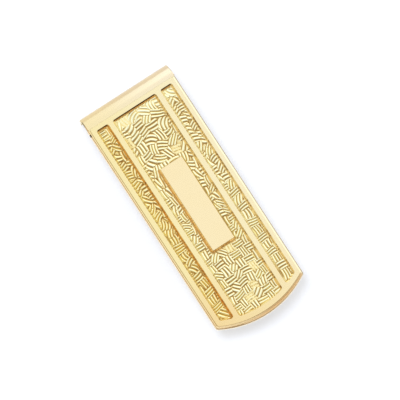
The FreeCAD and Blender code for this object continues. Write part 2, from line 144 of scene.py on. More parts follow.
def corner_arc(centre: Pair, radius: float, turn: Pair, steps: int) -> tuple[Array, Array]:
    """Points of an arc: centre plus radius times (cosine, sine) of the evenly spaced angle.

    Args:
        centre: middle of the arc.
        radius: its radius.
        turn: first and last angle in degrees.
        steps: number of pieces that the arc is cut into.

    Returns:
        The points and the outward directions, each (steps + 1, 2).
    """
    angle = np.radians(np.linspace(turn[0], turn[1], steps + 1))
    outward = np.stack([np.cos(angle), np.sin(angle)], axis=1)
    return np.asarray(centre) + radius * outward, outward


def arched_line(left: float, right: float, top: float, arc: Pair, corner: float,
                steps: tuple[int, int] = (8, 64), upper: float | None = None) -> Line:
    """Outline with straight sides, a flat top and a lower end on a wide arc.

    Each lower corner is a small arc that touches both the side and the wide arc: its middle
    stands one corner radius inside the side and inside the wide arc.

    Args:
        left, right: where the two sides stand.
        top: where the flat end stands.
        arc: radius of the wide arc and the height of its middle, which stands at X = 0.
        corner: radius of the corners.
        steps: pieces in each corner and in the wide arc.
        upper: radius of the two upper corners, if it differs.

    Returns:
        The closed line.
    """
    radius, middle = arc
    above = corner if upper is None else upper
    inner = radius - corner
    feet = [(x, middle - math.sqrt(inner**2 - x**2)) for x in (left + corner, right - corner)]
    meet = [math.degrees(math.atan2(y - middle, x)) % 360 for x, y in feet]
    points, outward = corner_arc((0.0, middle), radius, (meet[0], meet[1]), steps[1])
    return joined([
        corner_arc((right - above, top - above), above, (0, 90), steps[0]),
        corner_arc((left + above, top - above), above, (90, 180), steps[0]),
        corner_arc(feet[0], corner, (180, meet[0]), steps[0]),
        (points[1:-1], outward[1:-1]),
        corner_arc(feet[1], corner, (meet[1], 360), steps[0]),
    ])


def boxed_line(half: Pair, centre: Pair, corner: float, steps: int = 8) -> Line:
    """Rectangle with round corners, as four quarter arcs joined by straight runs.

    Args:
        half: half its width and half its length.
        centre: its middle.
        corner: radius of the corners.
        steps: pieces in each corner.

    Returns:
        The closed line.
    """
    sides = ((1, 1), (-1, 1), (-1, -1), (1, -1))
    in_x, in_y = half[0] - corner, half[1] - corner
    return joined([corner_arc((centre[0] + sx * in_x, centre[1] + sy * in_y), corner,
                              (90 * k, 90 * (k + 1)), steps) for k, (sx, sy) in enumerate(sides)])


def line_through(points: Array) -> Line:
    """Closed line through given points; outwards is square to the run between the neighbours.

    Args:
        points: the places, counter-clockwise, (n, 2).

    Returns:
        The closed line.
    """
    run = np.roll(points, -1, axis=0) - np.roll(points, 1, axis=0)
    run /= np.linalg.norm(run, axis=1, keepdims=True)
    return Line(points, np.stack([run[:, 1], -run[:, 0]], axis=1))


class Shell:
    """Points and faces gathered into one closed surface, in millimetres."""

    def __init__(self) -> None:
        """Starts an empty shell."""
        self._points: list[Array] = []
        self._faces: list[list[int]] = []
        self._count = 0

    def add(self, points: Array) -> Array:
        """Adds points.

        Args:
            points: places in millimetres, (..., 3).

        Returns:
            Their numbers, (...).
        """
        flat = points.reshape(-1, 3)
        numbers = np.arange(self._count, self._count + len(flat)).reshape(points.shape[:-1])
        self._points.append(flat)
        self._count += len(flat)
        return numbers

    def skin(self, numbers: Array, closed: bool = True, flip: bool = False) -> None:
        """Faces between neighbours of a grid of point numbers.

        Args:
            numbers: (rows, columns) point numbers; a face joins four neighbours.
            closed: whether the last column joins the first.
            flip: turns the faces over.
        """
        across = np.roll(numbers, -1, axis=1) if closed else numbers[:, 1:]
        near = numbers if closed else numbers[:, :-1]
        quads = np.stack([near[:-1], across[:-1], across[1:], near[1:]], axis=-1).reshape(-1, 4)
        self._faces += (quads[:, ::-1] if flip else quads).tolist()

    def cap(self, rings: list[Array], up: Triple) -> None:
        """Fills the flat area between an outer ring and any holes with triangles that face up.

        Args:
            rings: point numbers of the outer ring, then of each hole.
            up: the side that the triangles face.
        """
        points = np.concatenate(self._points)
        chain = np.concatenate(rings)
        corners = np.asarray(
            tessellate_polygon([[Vector(p) for p in points[ring]] for ring in rings]))
        a, b, c = (points[chain[corners[:, k]]] for k in range(3))
        wrong = np.cross(b - a, c - a) @ np.asarray(up) < 0
        corners[wrong] = corners[wrong][:, ::-1]
        self._faces += chain[corners].tolist()

    def swept(self, line: Line, profile: Array, share: float | Array = 1.0) -> Array:
        """Carries a profile along a closed line.

        A point is the line's point moved outwards by share times the profile's reach, at the
        profile's height.

        Args:
            line: the closed line.
            profile: (m, 2) of reach and height.
            share: scales the reach, along the line or by profile point and line point.

        Returns:
            The point numbers, (m, n).
        """
        reach = profile[:, :1] * np.broadcast_to(share, (len(profile), len(line.points)))
        plan = line.points[None] + reach[..., None] * line.outward[None]
        height = np.broadcast_to(profile[:, 1:], reach.shape)[..., None]
        numbers = self.add(np.concatenate([plan, height], axis=-1))
        self.skin(numbers)
        return numbers

    def piece(self, name: str, sharp: float = 40.0) -> bpy.types.Object:
        """Makes the mesh object.

        Args:
            name: the piece's name.
            sharp: angle in degrees above which an edge stays sharp.

        Returns:
            The object, linked into the scene.
        """
        mesh = bpy.data.meshes.new(name)
        mesh.from_pydata((np.concatenate(self._points) * MM).tolist(), [], self._faces)
        mesh.polygons.foreach_set("use_smooth", np.ones(len(mesh.polygons), bool))
        mesh.set_sharp_from_angle(angle=math.radians(sharp))
        mesh.validate()
        mesh.update()
        thing = bpy.data.objects.new(name, mesh)
        bpy.context.scene.collection.objects.link(thing)
        return thing


def quarter_round(radius: float, top: float, steps: int) -> Array:
    """Reach and height of a rounded upper edge: reach goes from 0 to -radius as height rises."""
    angle = np.radians(np.linspace(0, 90, steps + 1))
    return np.stack([radius * (np.cos(angle) - 1), top + radius * (np.sin(angle) - 1)], axis=1)


def scattered(shape: tuple[int, ...], seed: int) -> Array:
    """Seeded random numbers from -1 to 1."""
    return np.random.default_rng(seed).uniform(-1.0, 1.0, shape)


def smooth_step(value: Array, low: float, high: float) -> Array:
    """0 below low, 1 above high, and a smooth curve between."""
    t = np.clip((value - low) / (high - low), 0.0, 1.0)
    return t * t * (3.0 - 2.0 * t)


def eased(value: Array, span: Pair, ends: Pair) -> Array:
    """From the first to the last of ends as value goes over the span, along a smooth curve."""
    return ends[0] + (ends[1] - ends[0]) * smooth_step(value, *span)


# ----------------------------------------------------------------------------------------------
# Finishes
# ----------------------------------------------------------------------------------------------


class Wiring:
    """Places and joins shader nodes in one node tree."""

    def __init__(self, tree: bpy.types.NodeTree) -> None:
        """Keeps the tree that the nodes go into."""
        self.tree = tree

    @classmethod
    def fresh(cls, owner: bpy.types.Material | bpy.types.World) -> Wiring:
        """Wiring in the emptied node tree of a material or world."""
        owner.use_nodes = True
        owner.node_tree.nodes.clear()
        return cls(owner.node_tree)

    def feed(self, node: bpy.types.Node, inputs: dict[str | int, object]) -> None:
        """Sets or links a node's inputs.

        Args:
            node: the node.
            inputs: value or output socket for each named or numbered input.
        """
        for name, value in inputs.items():
            if isinstance(value, Socket):
                self.tree.links.new(value, node.inputs[name])
            else:
                node.inputs[name].default_value = value

    def node(self, kind: str, inputs: dict[str | int, object] | None = None,
             **settings: object) -> bpy.types.Node:
        """Adds a node.

        Args:
            kind: the node's type name.
            inputs: value or output socket for each named or numbered input.
            settings: properties of the node itself.

        Returns:
            The node.
        """
        made = self.tree.nodes.new(kind)
        for name, value in settings.items():
            setattr(made, name, value)
        self.feed(made, inputs or {})
        return made

    def math(self, operation: str, first: object, second: object = 0.0,
             clamp: bool = False) -> Socket:
        """Output of one Math node."""
        return self.node("ShaderNodeMath", {0: first, 1: second}, operation=operation,
                         use_clamp=clamp).outputs[0]

    def aimed(self, operation: str, first: Socket, second: tuple[float, ...] = (0.0, 0.0, 0.0)
              ) -> bpy.types.Node:
        """One Vector Math node."""
        return self.node("ShaderNodeVectorMath", {0: first, 1: second}, operation=operation)

    def noise(self, where: Socket, scale: object, detail: float, **inputs: float) -> Socket:
        """Output of one Noise Texture node; inputs holds its other inputs by name."""
        return self.node("ShaderNodeTexNoise", {"Vector": where, "Scale": scale,
                                                "Detail": detail, **inputs}).outputs[0]

    def ranged(self, value: object, old: Pair, new: Pair = (0.0, 1.0), smooth: bool = False
               ) -> Socket:
        """Output that goes from the new range's first to its last value as value does the old."""
        return self.node("ShaderNodeMapRange", {0: value, 1: old[0], 2: old[1], 3: new[0],
                                                4: new[1]},
                         interpolation_type="SMOOTHSTEP" if smooth else "LINEAR").outputs[0]

    def blended(self, share: object, first: object, second: object, blend: str = "MIX"
                ) -> Socket:
        """Colour output of two mixed colours."""
        return self.node("ShaderNodeMix", {0: share, 6: first, 7: second}, data_type="RGBA",
                         blend_type=blend).outputs[2]

    def group(self, group: bpy.types.NodeTree, inputs: dict[str, object]) -> bpy.types.Node:
        """Places a node group with its own values."""
        return self.node("ShaderNodeGroup", inputs, node_tree=group)


def rgba(colour: Colour) -> tuple[float, float, float, float]:
    """A colour with full opacity."""
    return (*colour, 1.0)


def metres(lengths: Pair) -> Pair:
    """Two lengths in millimetres as metres."""
    return lengths[0] * MM, lengths[1] * MM


WHITE = rgba((1.0, 1.0, 1.0))


def new_group(name: str, inputs: dict[str, str | float], outputs: dict[str, str]
              ) -> tuple[bpy.types.NodeTree, Wiring, dict[str, Socket], bpy.types.Node]:
    """Starts a shader node group.

    Args:
        name: the group's name.
        inputs: for each input its first value, or its kind (Vector or Color) if it has none.
        outputs: for each output its kind.

    Returns:
        The group, its wiring, what comes in by name, and its output node.
    """
    group = bpy.data.node_groups.new(name, "ShaderNodeTree")
    for label, first in inputs.items():
        kind = first if isinstance(first, str) else "Float"
        socket = group.interface.new_socket(label, in_out="INPUT",
                                            socket_type=f"NodeSocket{kind}")
        if kind == "Float":
            socket.default_value = first
    for label, kind in outputs.items():
        group.interface.new_socket(label, in_out="OUTPUT", socket_type=f"NodeSocket{kind}")
    w = Wiring(group)
    source = w.node("NodeGroupInput")
    return group, w, {label: source.outputs[label] for label in inputs}, w.node("NodeGroupOutput")


def scratch_group() -> bpy.types.NodeTree:
    """Hair scratches: two stretched noises, each cut to thin lines and broken up by a third.

    Returns:
        The group; it puts out the scratches' mask and their height, which is below zero.
    """
    group, w, given, out = new_group(
        "HairScratches",
        {"Vector": "Vector", "Scale": 900.0, "Stretch": 0.04, "Turn": 0.35, "Amount": 1.0},
        {"Mask": "Float", "Height": "Float"})
    line_width, patch_scale, patch_edge = 0.02, 0.25, (0.45, 0.62)
    lines = []
    # The second set runs the other way and less steeply.
    for way in (1.0, -0.7):
        turn = w.node("ShaderNodeCombineXYZ", {2: w.math("MULTIPLY", given["Turn"], way)})
        squeeze = w.node("ShaderNodeCombineXYZ", {0: 1.0, 1: given["Stretch"], 2: 1.0})
        placed = w.node("ShaderNodeMapping", {0: given["Vector"], 2: turn.outputs[0],
                                              3: squeeze.outputs[0]})
        noise = w.noise(placed.outputs[0], given["Scale"], 2.0, Roughness=0.6)
        off = w.math("ABSOLUTE", w.math("SUBTRACT", noise, 0.5))
        lines.append(w.ranged(off, (0.0, line_width), (1.0, 0.0)))
    patches = w.noise(given["Vector"], w.math("MULTIPLY", given["Scale"], patch_scale), 1.0)
    mask = w.math("MULTIPLY", w.math("MAXIMUM", lines[0], lines[1]),
                  w.ranged(patches, patch_edge, smooth=True))
    mask = w.math("MULTIPLY", mask, given["Amount"], clamp=True)
    w.feed(out, {"Mask": mask, "Height": w.math("MULTIPLY", mask, -1.0)})
    return group


def handling_group() -> bpy.types.NodeTree:
    """Handling marks: soft cloudy patches that vary the roughness and the tone a little.

    Returns:
        The group; it puts out the roughness from low to high and the toned colour.
    """
    group, w, given, out = new_group(
        "HandlingMarks",
        {"Vector": "Vector", "Scale": 120.0, "Low": 0.14, "High": 0.24, "Tint": 0.03,
         "Colour": "Color", "Warmer": "Color"},
        {"Roughness": "Float", "Colour": "Color"})
    fine_scale, fine_share, cloud_edge = 9.0, 0.3, (0.35, 0.65)
    cloud = w.noise(given["Vector"], given["Scale"], 3.0, Roughness=0.55, Distortion=0.4)
    fine = w.noise(given["Vector"], w.math("MULTIPLY", given["Scale"], fine_scale), 2.0)
    both = w.math("ADD", w.math("MULTIPLY", cloud, 1.0 - fine_share),
                  w.math("MULTIPLY", fine, fine_share))
    even = w.ranged(both, cloud_edge, smooth=True)
    spread = w.math("SUBTRACT", given["High"], given["Low"])
    w.feed(out, {"Roughness": w.math("ADD", given["Low"], w.math("MULTIPLY", even, spread)),
                 "Colour": w.blended(w.math("MULTIPLY", even, given["Tint"]),
                                     given["Colour"], given["Warmer"])})
    return group


def grain_group() -> bpy.types.NodeTree:
    """Struck-metal grain: a fine noise over small round pits, as one height.

    Returns:
        The group; it puts out the height.
    """
    group, w, given, out = new_group(
        "MetalGrain", {"Vector": "Vector", "Scale": 5000.0, "Pits": 0.4}, {"Height": "Float"})
    pit_scale, pit_rim = 0.6, 0.5
    fine = w.noise(given["Vector"], given["Scale"], 3.0, Roughness=0.6)
    pits = w.node("ShaderNodeTexVoronoi", {
        "Vector": given["Vector"], "Scale": w.math("MULTIPLY", given["Scale"], pit_scale)})
    dents = w.math("MULTIPLY", w.ranged(pits.outputs["Distance"], (0.0, pit_rim)), given["Pits"])
    w.feed(out, {"Height": w.math("ADD", fine, dents)})
    return group


@dataclass(frozen=True)
class Effects:
    """The shader node groups that the finishes share.

    Attributes:
        scratches: hair scratches.
        handling: handling marks.
        grain: struck-metal grain.
    """

    scratches: bpy.types.NodeTree
    handling: bpy.types.NodeTree
    grain: bpy.types.NodeTree


@dataclass(frozen=True)
class MetalFinish:
    """A metal with handling marks, hair scratches and grain.

    Attributes:
        name: the material's name.
        colour: base colour.
        warmer: colour of the patches that handling has toned.
        tint: how far the patches go to the warmer colour.
        rough: lowest and highest roughness.
        cloud: size of the handling patches, per metre.
        scratch: strength of the hair scratches.
        scratch_turn: angle of the scratches in radians.
        scratch_dull: roughness of a scratch, as a multiple of its strength.
        stretch: length of the scratches; smaller is longer.
        grain: strength of the fine grain.
        grain_scale: fineness of the grain, per metre.
        reliefs: depth of grain and of scratches at full strength, in millimetres.
    """

    name: str
    colour: Colour
    warmer: Colour
    tint: float = 0.5
    rough: Pair = (0.14, 0.24)
    cloud: float = 110.0
    scratch: float = 0.03
    scratch_turn: float = 0.35
    scratch_dull: float = 2.0
    stretch: float = 0.04
    grain: float = 0.01
    grain_scale: float = 5000.0
    reliefs: Pair = (0.10, 0.05)

    def tones(self, w: Wiring, where: Socket) -> tuple[object, object]:
        """Base colour and added roughness; here the same all over."""
        return rgba(self.colour), 0.0

    def build(self, effects: Effects) -> bpy.types.Material:
        """Makes the finished material: the shared effects over the finish's own tones.

        Args:
            effects: the shared node groups.

        Returns:
            The material.
        """
        made = bpy.data.materials.new(self.name)
        w = Wiring.fresh(made)
        shader = w.node("ShaderNodeBsdfPrincipled", {"Metallic": 1.0})
        w.node("ShaderNodeOutputMaterial", {"Surface": shader.outputs[0]})
        # Object coordinates are metres in the clip's own frame.
        where = w.node("ShaderNodeTexCoord").outputs["Object"]
        colour, dull = self.tones(w, where)
        marks = w.group(effects.handling, {
            "Vector": where, "Scale": self.cloud, "Low": self.rough[0], "High": self.rough[1],
            "Tint": self.tint, "Colour": colour, "Warmer": rgba(self.warmer)})
        lines = w.group(effects.scratches, {"Vector": where, "Turn": self.scratch_turn,
                                            "Stretch": self.stretch})
        grain = w.group(effects.grain, {"Vector": where, "Scale": self.grain_scale})
        grain_depth, scratch_depth = metres(self.reliefs)
        grained = w.node("ShaderNodeBump", {"Strength": self.grain, "Distance": grain_depth,
                                            "Height": grain.outputs["Height"]})
        scratched = w.node("ShaderNodeBump", {"Strength": self.scratch,
                                              "Distance": scratch_depth,
                                              "Height": lines.outputs["Height"],
                                              "Normal": grained.outputs[0]})
        duller = w.math("MULTIPLY", lines.outputs["Mask"], self.scratch * self.scratch_dull)
        rough = w.math("ADD", w.math("ADD", marks.outputs["Roughness"], duller), dull)
        w.feed(shader, {"Base Color": marks.outputs["Colour"], "Roughness": rough,
                        "Normal": scratched.outputs[0]})
        return made


@dataclass(frozen=True)
class StruckFinish(MetalFinish):
    """Gold with a struck relief: ridge tops carry a painted highlight, the valleys painted shade.

    Attributes:
        valley_shade: painted shade at the foot of the ridges.
        crest: painted highlight colour on top of the ridges.
        levels: relief at which the painted valley shade, the base colour and the painted crest
            highlight stand.
        warm: painted shade factor at the -X side, away from the light.
        shade_span: X from the shaded side to where the factor is one, in millimetres.
    """

    valley_shade: Colour = (0.27, 0.11, 0.003)
    crest: Colour = (1.0, 1.0, 0.69)
    levels: Triple = (0.0, 0.36, 0.74)
    warm: Colour = (0.99, 0.93, 0.77)
    shade_span: Pair = (-6.0, -4.5)

    def tones(self, w: Wiring, where: Socket) -> tuple[object, object]:
        """Painted valley shade, base colour and painted crest highlight by the stored relief,
        painted shade towards -X.

        Args:
            w: the material's wiring.
            where: places in metres.

        Returns:
            Base colour and added roughness.
        """
        height = w.node("ShaderNodeAttribute", attribute_name=RELIEF_LAYER).outputs["Fac"]
        # Painted shade in the valleys and a painted highlight on the crests, by relief.
        lower = w.blended(w.ranged(height, self.levels[:2]), rgba(self.valley_shade),
                          rgba(self.colour))
        colour = w.blended(w.ranged(height, self.levels[1:]), lower, rgba(self.crest))
        # Painted shade on the -X side, away from the light.
        across = w.node("ShaderNodeSeparateXYZ", {0: where}).outputs["X"]
        factor = w.blended(w.ranged(across, metres(self.shade_span)), rgba(self.warm), WHITE)
        return w.blended(1.0, colour, factor, "MULTIPLY"), 0.0


@dataclass(frozen=True)
class TonedFinish(MetalFinish):
    """Polished gold with a painted highlight that pales it towards +X, painted shade towards the
    arc and stored painted shade and light.

    Attributes:
        pale: base colour at the +X side, paled by a painted highlight.
        span: X of the two sides, in millimetres.
        tail: base colour at the arc end, warmer by painted shade.
        tail_span: Y between which that painted shade sets in, in millimetres.
        tail_share: share of that painted shade at the -X and the +X side.
        soiled: roughness added where the gloss is 0.
    """

    pale: Colour = (0.955, 0.86, 0.58)
    span: Pair = (-9.0, 9.0)
    tail: Colour = (0.90, 0.68, 0.34)
    tail_span: Pair = (-8.0, -24.0)
    tail_share: Pair = (0.9, 0.22)
    soiled: float = 0.28

    def tones(self, w: Wiring, where: Socket) -> tuple[object, object]:
        """The face's painted highlight and shade times the stored painted shade and light, and
        roughness by the stored gloss.

        Args:
            w: the material's wiring.
            where: places in metres.

        Returns:
            Base colour and added roughness.
        """
        split = w.node("ShaderNodeSeparateXYZ", {0: where}).outputs
        across = metres(self.span)
        # Painted highlight: the face pales towards +X.
        face = w.blended(w.ranged(split["X"], across), rgba(self.colour), rgba(self.pale))
        # Painted shade towards the arc end, stronger at -X.
        end = w.math("MULTIPLY", w.ranged(split["X"], across, self.tail_share),
                     w.ranged(split["Y"], metres(self.tail_span), smooth=True))
        face = w.blended(end, face, rgba(self.tail))
        # Stored painted shade and light, and gloss.
        tone = w.node("ShaderNodeAttribute", attribute_name=PAINTED_LIGHT_LAYER).outputs
        return (w.blended(1.0, face, tone["Color"], "MULTIPLY"),
                w.ranged(tone["Alpha"], (0.0, 1.0), (self.soiled, 0.0)))


@dataclass(frozen=True)
class LedgeFinish(MetalFinish):
    """Gold of the ledge round the face: painted shade on its flat top, a paler painted reflection
    down its round edge.

    Attributes:
        flank: colour at the foot of the round edge, a paler painted reflection of the floor.
        low_flank: the same along the arc.
        rise: heights between which the flank colour turns into the top colour.
        dull: painted shade on the ledge along the +X side.
        shaded_side_span: X between which that painted shade sets in.
        gap_shadow: middle and half length along Y of the painted shadow at -X, in the gap where
            the roll begins.
        gap_shadow_edge: part of its half length from which the painted shadow fades.
        gap_shadow_colour: colour of the painted shadow.
        deep: painted shade on the ledge along the arc towards +X.
        arc_shade_spans: X and Y between which that painted shade sets in.
    """

    flank: Colour = (1.0, 0.80, 0.50)
    low_flank: Colour = (1.0, 0.90, 0.68)
    rise: Pair = (4.42, 4.50)
    dull: Colour = (0.44, 0.37, 0.23)
    shaded_side_span: Pair = (9.60, 9.75)
    gap_shadow: Pair = (21.56, 0.30)
    gap_shadow_edge: float = 0.8
    gap_shadow_colour: Colour = (0.02, 0.015, 0.01)
    deep: Colour = (0.83, 0.53, 0.24)
    arc_shade_spans: tuple[Pair, Pair] = ((-6.0, 2.0), (-21.5, -23.5))

    def tones(self, w: Wiring, where: Socket) -> tuple[object, object]:
        """Painted reflection on the edge below painted shade on the top, each with its own arc
        colour, then painted shade along +X and the painted gap shadow.

        Args:
            w: the material's wiring.
            where: places in metres.

        Returns:
            Base colour and added roughness.
        """
        split = w.node("ShaderNodeSeparateXYZ", {0: where}).outputs
        # Painted shade on the top, deeper along the arc towards +X; a paler painted reflection
        # down the edge.
        across, along = (metres(span) for span in self.arc_shade_spans)
        low = w.ranged(split["Y"], along, smooth=True)
        arc = w.math("MULTIPLY", w.ranged(split["X"], across, smooth=True), low)
        top = w.blended(arc, rgba(self.colour), rgba(self.deep))
        edge = w.blended(low, rgba(self.flank), rgba(self.low_flank))
        colour = w.blended(w.ranged(split["Z"], metres(self.rise)), edge, top)
        # Painted shade along the +X side.
        colour = w.blended(w.ranged(split["X"], metres(self.shaded_side_span)), colour,
                           rgba(self.dull))
        # Painted shadow in the gap at -X where the roll begins.
        middle, half = metres(self.gap_shadow)
        off = w.math("ABSOLUTE", w.math("SUBTRACT", split["Y"], middle))
        cut = w.math("MULTIPLY", w.ranged(off, (half * self.gap_shadow_edge, half), (1.0, 0.0)),
                     w.math("LESS_THAN", split["X"], 0.0))
        return w.blended(cut, colour, rgba(self.gap_shadow_colour)), 0.0


@dataclass(frozen=True)
class Palette:
    """All finishes of the clip.

    Attributes:
        polished: front plate and roll.
        plaque: bar for engraving.
        woven: basket weave and the sheet under it.
        satin: arm behind the clip.
        backing: back plate, whose ledge shows round the face.
        brass: hinge pin and rivets.
        steel: snap spring.
    """

    polished: TonedFinish = TonedFinish(
        "PolishedGold", colour=(0.95, 0.83, 0.45), warmer=(0.95, 0.80, 0.42), tint=0.2,
        rough=(0.13, 0.20), scratch=0.01, grain=0.0008)
    plaque: TonedFinish = TonedFinish(
        "PlaqueGold", colour=(0.97, 0.83, 0.52), warmer=(0.96, 0.79, 0.45), tint=0.2,
        rough=(0.14, 0.20), scratch=0.01, scratch_turn=1.2, grain=0.0005,
        pale=(0.97, 0.83, 0.52), tail_share=(0.0, 0.0))
    woven: StruckFinish = StruckFinish(
        "WovenGold", colour=(0.97, 0.81, 0.37), warmer=(0.92, 0.72, 0.34), tint=0.02,
        rough=(0.13, 0.20), scratch=0.015, grain=0.01, grain_scale=7000.0)
    satin: MetalFinish = MetalFinish(
        "SatinGold", colour=(0.93, 0.78, 0.42), warmer=(0.90, 0.70, 0.34), tint=0.35,
        rough=(0.24, 0.34), scratch=0.06, scratch_turn=0.05, stretch=0.015, grain=0.02)
    backing: LedgeFinish = LedgeFinish(
        "BackingGold", colour=(0.80, 0.57, 0.30), warmer=(0.78, 0.55, 0.29), tint=0.2,
        rough=(0.18, 0.26), scratch=0.05, scratch_turn=0.05, stretch=0.015, grain=0.01)
    brass: MetalFinish = MetalFinish(
        "PinBrass", colour=(0.86, 0.68, 0.34), warmer=(0.78, 0.56, 0.25), tint=0.5,
        rough=(0.26, 0.38), scratch=0.08, scratch_turn=1.57, grain=0.03)
    steel: MetalFinish = MetalFinish(
        "SpringSteel", colour=(0.62, 0.61, 0.60), warmer=(0.54, 0.49, 0.43), tint=0.5,
        rough=(0.26, 0.40), scratch=0.10, stretch=0.012, grain=0.02)

    def made(self, effects: Effects) -> dict[str, bpy.types.Material]:
        """Makes every finish in order, by the name of its field."""
        return {entry.name: getattr(self, entry.name).build(effects) for entry in fields(self)}


# ----------------------------------------------------------------------------------------------
# Sub-assemblies
# ----------------------------------------------------------------------------------------------


@dataclass
class Piece:
    """A finished object with what it rides on and stands for.

    Attributes:
        thing: the object.
        body: the body that carries it.
        slot: the material slot that its finish is for.
        replaces: names of the CAD nodes that it stands for.
    """

    thing: bpy.types.Object
    body: Body
    slot: Slot
    replaces: tuple[str, ...] = ()

    def settle(self) -> None:
        """Hangs the piece from its body's empty, hides the CAD nodes that it stands for, and
        reports it.
        """
        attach(self.thing, self.body.value)
        if self.replaces:
            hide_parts(*self.replaces)
        LOG.info("%s rides on %s, %d faces", self.thing.name, self.body.value,
                 len(self.thing.data.polygons))


@dataclass(frozen=True)
class Shade:
    """Painted shade and light as colour factors that follow a rising number: a depth below the
    face or an angle.

    Attributes:
        stops: depths in millimetres, or angles in degrees.
        factors: red, green and blue factors at the stops.
    """

    stops: tuple[float, ...]
    factors: tuple[Colour, ...]

    def at(self, place: Array) -> Array:
        """Factors at each place, (..., 3), between those of the stops by straight lines."""
        table = np.asarray(self.factors)
        return np.stack([np.interp(place, self.stops, table[:, k]) for k in range(3)], axis=-1)


@dataclass(frozen=True)
class WallShades:
    """Painted shade of upright walls by the side that they look to, and painted light at the foot
    of some.

    Attributes:
        dark: painted shade of walls that look to -Y.
        warm: painted shade of walls that look to -X.
        olive: painted shade, and painted light at the foot, of walls that look to +X.
    """

    dark: Shade
    warm: Shade
    olive: Shade

    def on(self, depth: Array, outward: Array) -> Array:
        """Factors on a wall: each shade's share grows as the wall turns to that shade's side.

        Args:
            depth: depths of the rows, (m,).
            outward: unit vector square to the wall at each column, (n, 2).

        Returns:
            The factors, (m, n, 3).
        """
        down = smooth_step(-outward[:, 1], *TURN_Y)
        shares = (down, smooth_step(-outward[:, 0], *TURN_X) * (1 - down),
                  smooth_step(outward[:, 0], *TURN_X) * (1 - down))
        tone = np.ones((len(depth), len(outward), 3))
        for share, shade in zip(shares, (self.dark, self.warm, self.olive)):
            tone += share[None, :, None] * (shade.at(depth)[:, None] - 1.0)
        return tone


def with_gloss(tone: Array, gloss: float | Array = 1.0) -> Array:
    """Joins painted shade and light factors and gloss.

    Args:
        tone: red, green and blue factors, (..., 3).
        gloss: 1 for a clean surface down to 0 for a soiled one, (...).

    Returns:
        Rows of four numbers, (n, 4).
    """
    fourth = np.broadcast_to(gloss, tone.shape[:-1])[..., None]
    return np.concatenate([tone, fourth], axis=-1).reshape(-1, 4)


def soiled_gloss(tone: Array) -> Array:
    """Gloss of a wall: it falls from 1 to 0 as the painted shade's green factor falls from 0.9 to
    0.6.
    """
    return smooth_step(tone[..., 1], 0.6, 0.9)


def store_painted_light(thing: bpy.types.Object, tone: Array) -> None:
    """Stores painted shade and light factors and gloss at the points of a mesh.

    Args:
        thing: the object.
        tone: rows of with_gloss, one for each point.
    """
    layer = thing.data.attributes.new(PAINTED_LIGHT_LAYER, "FLOAT_COLOR", "POINT")
    layer.data.foreach_set("color", tone.astype(np.float32).ravel())


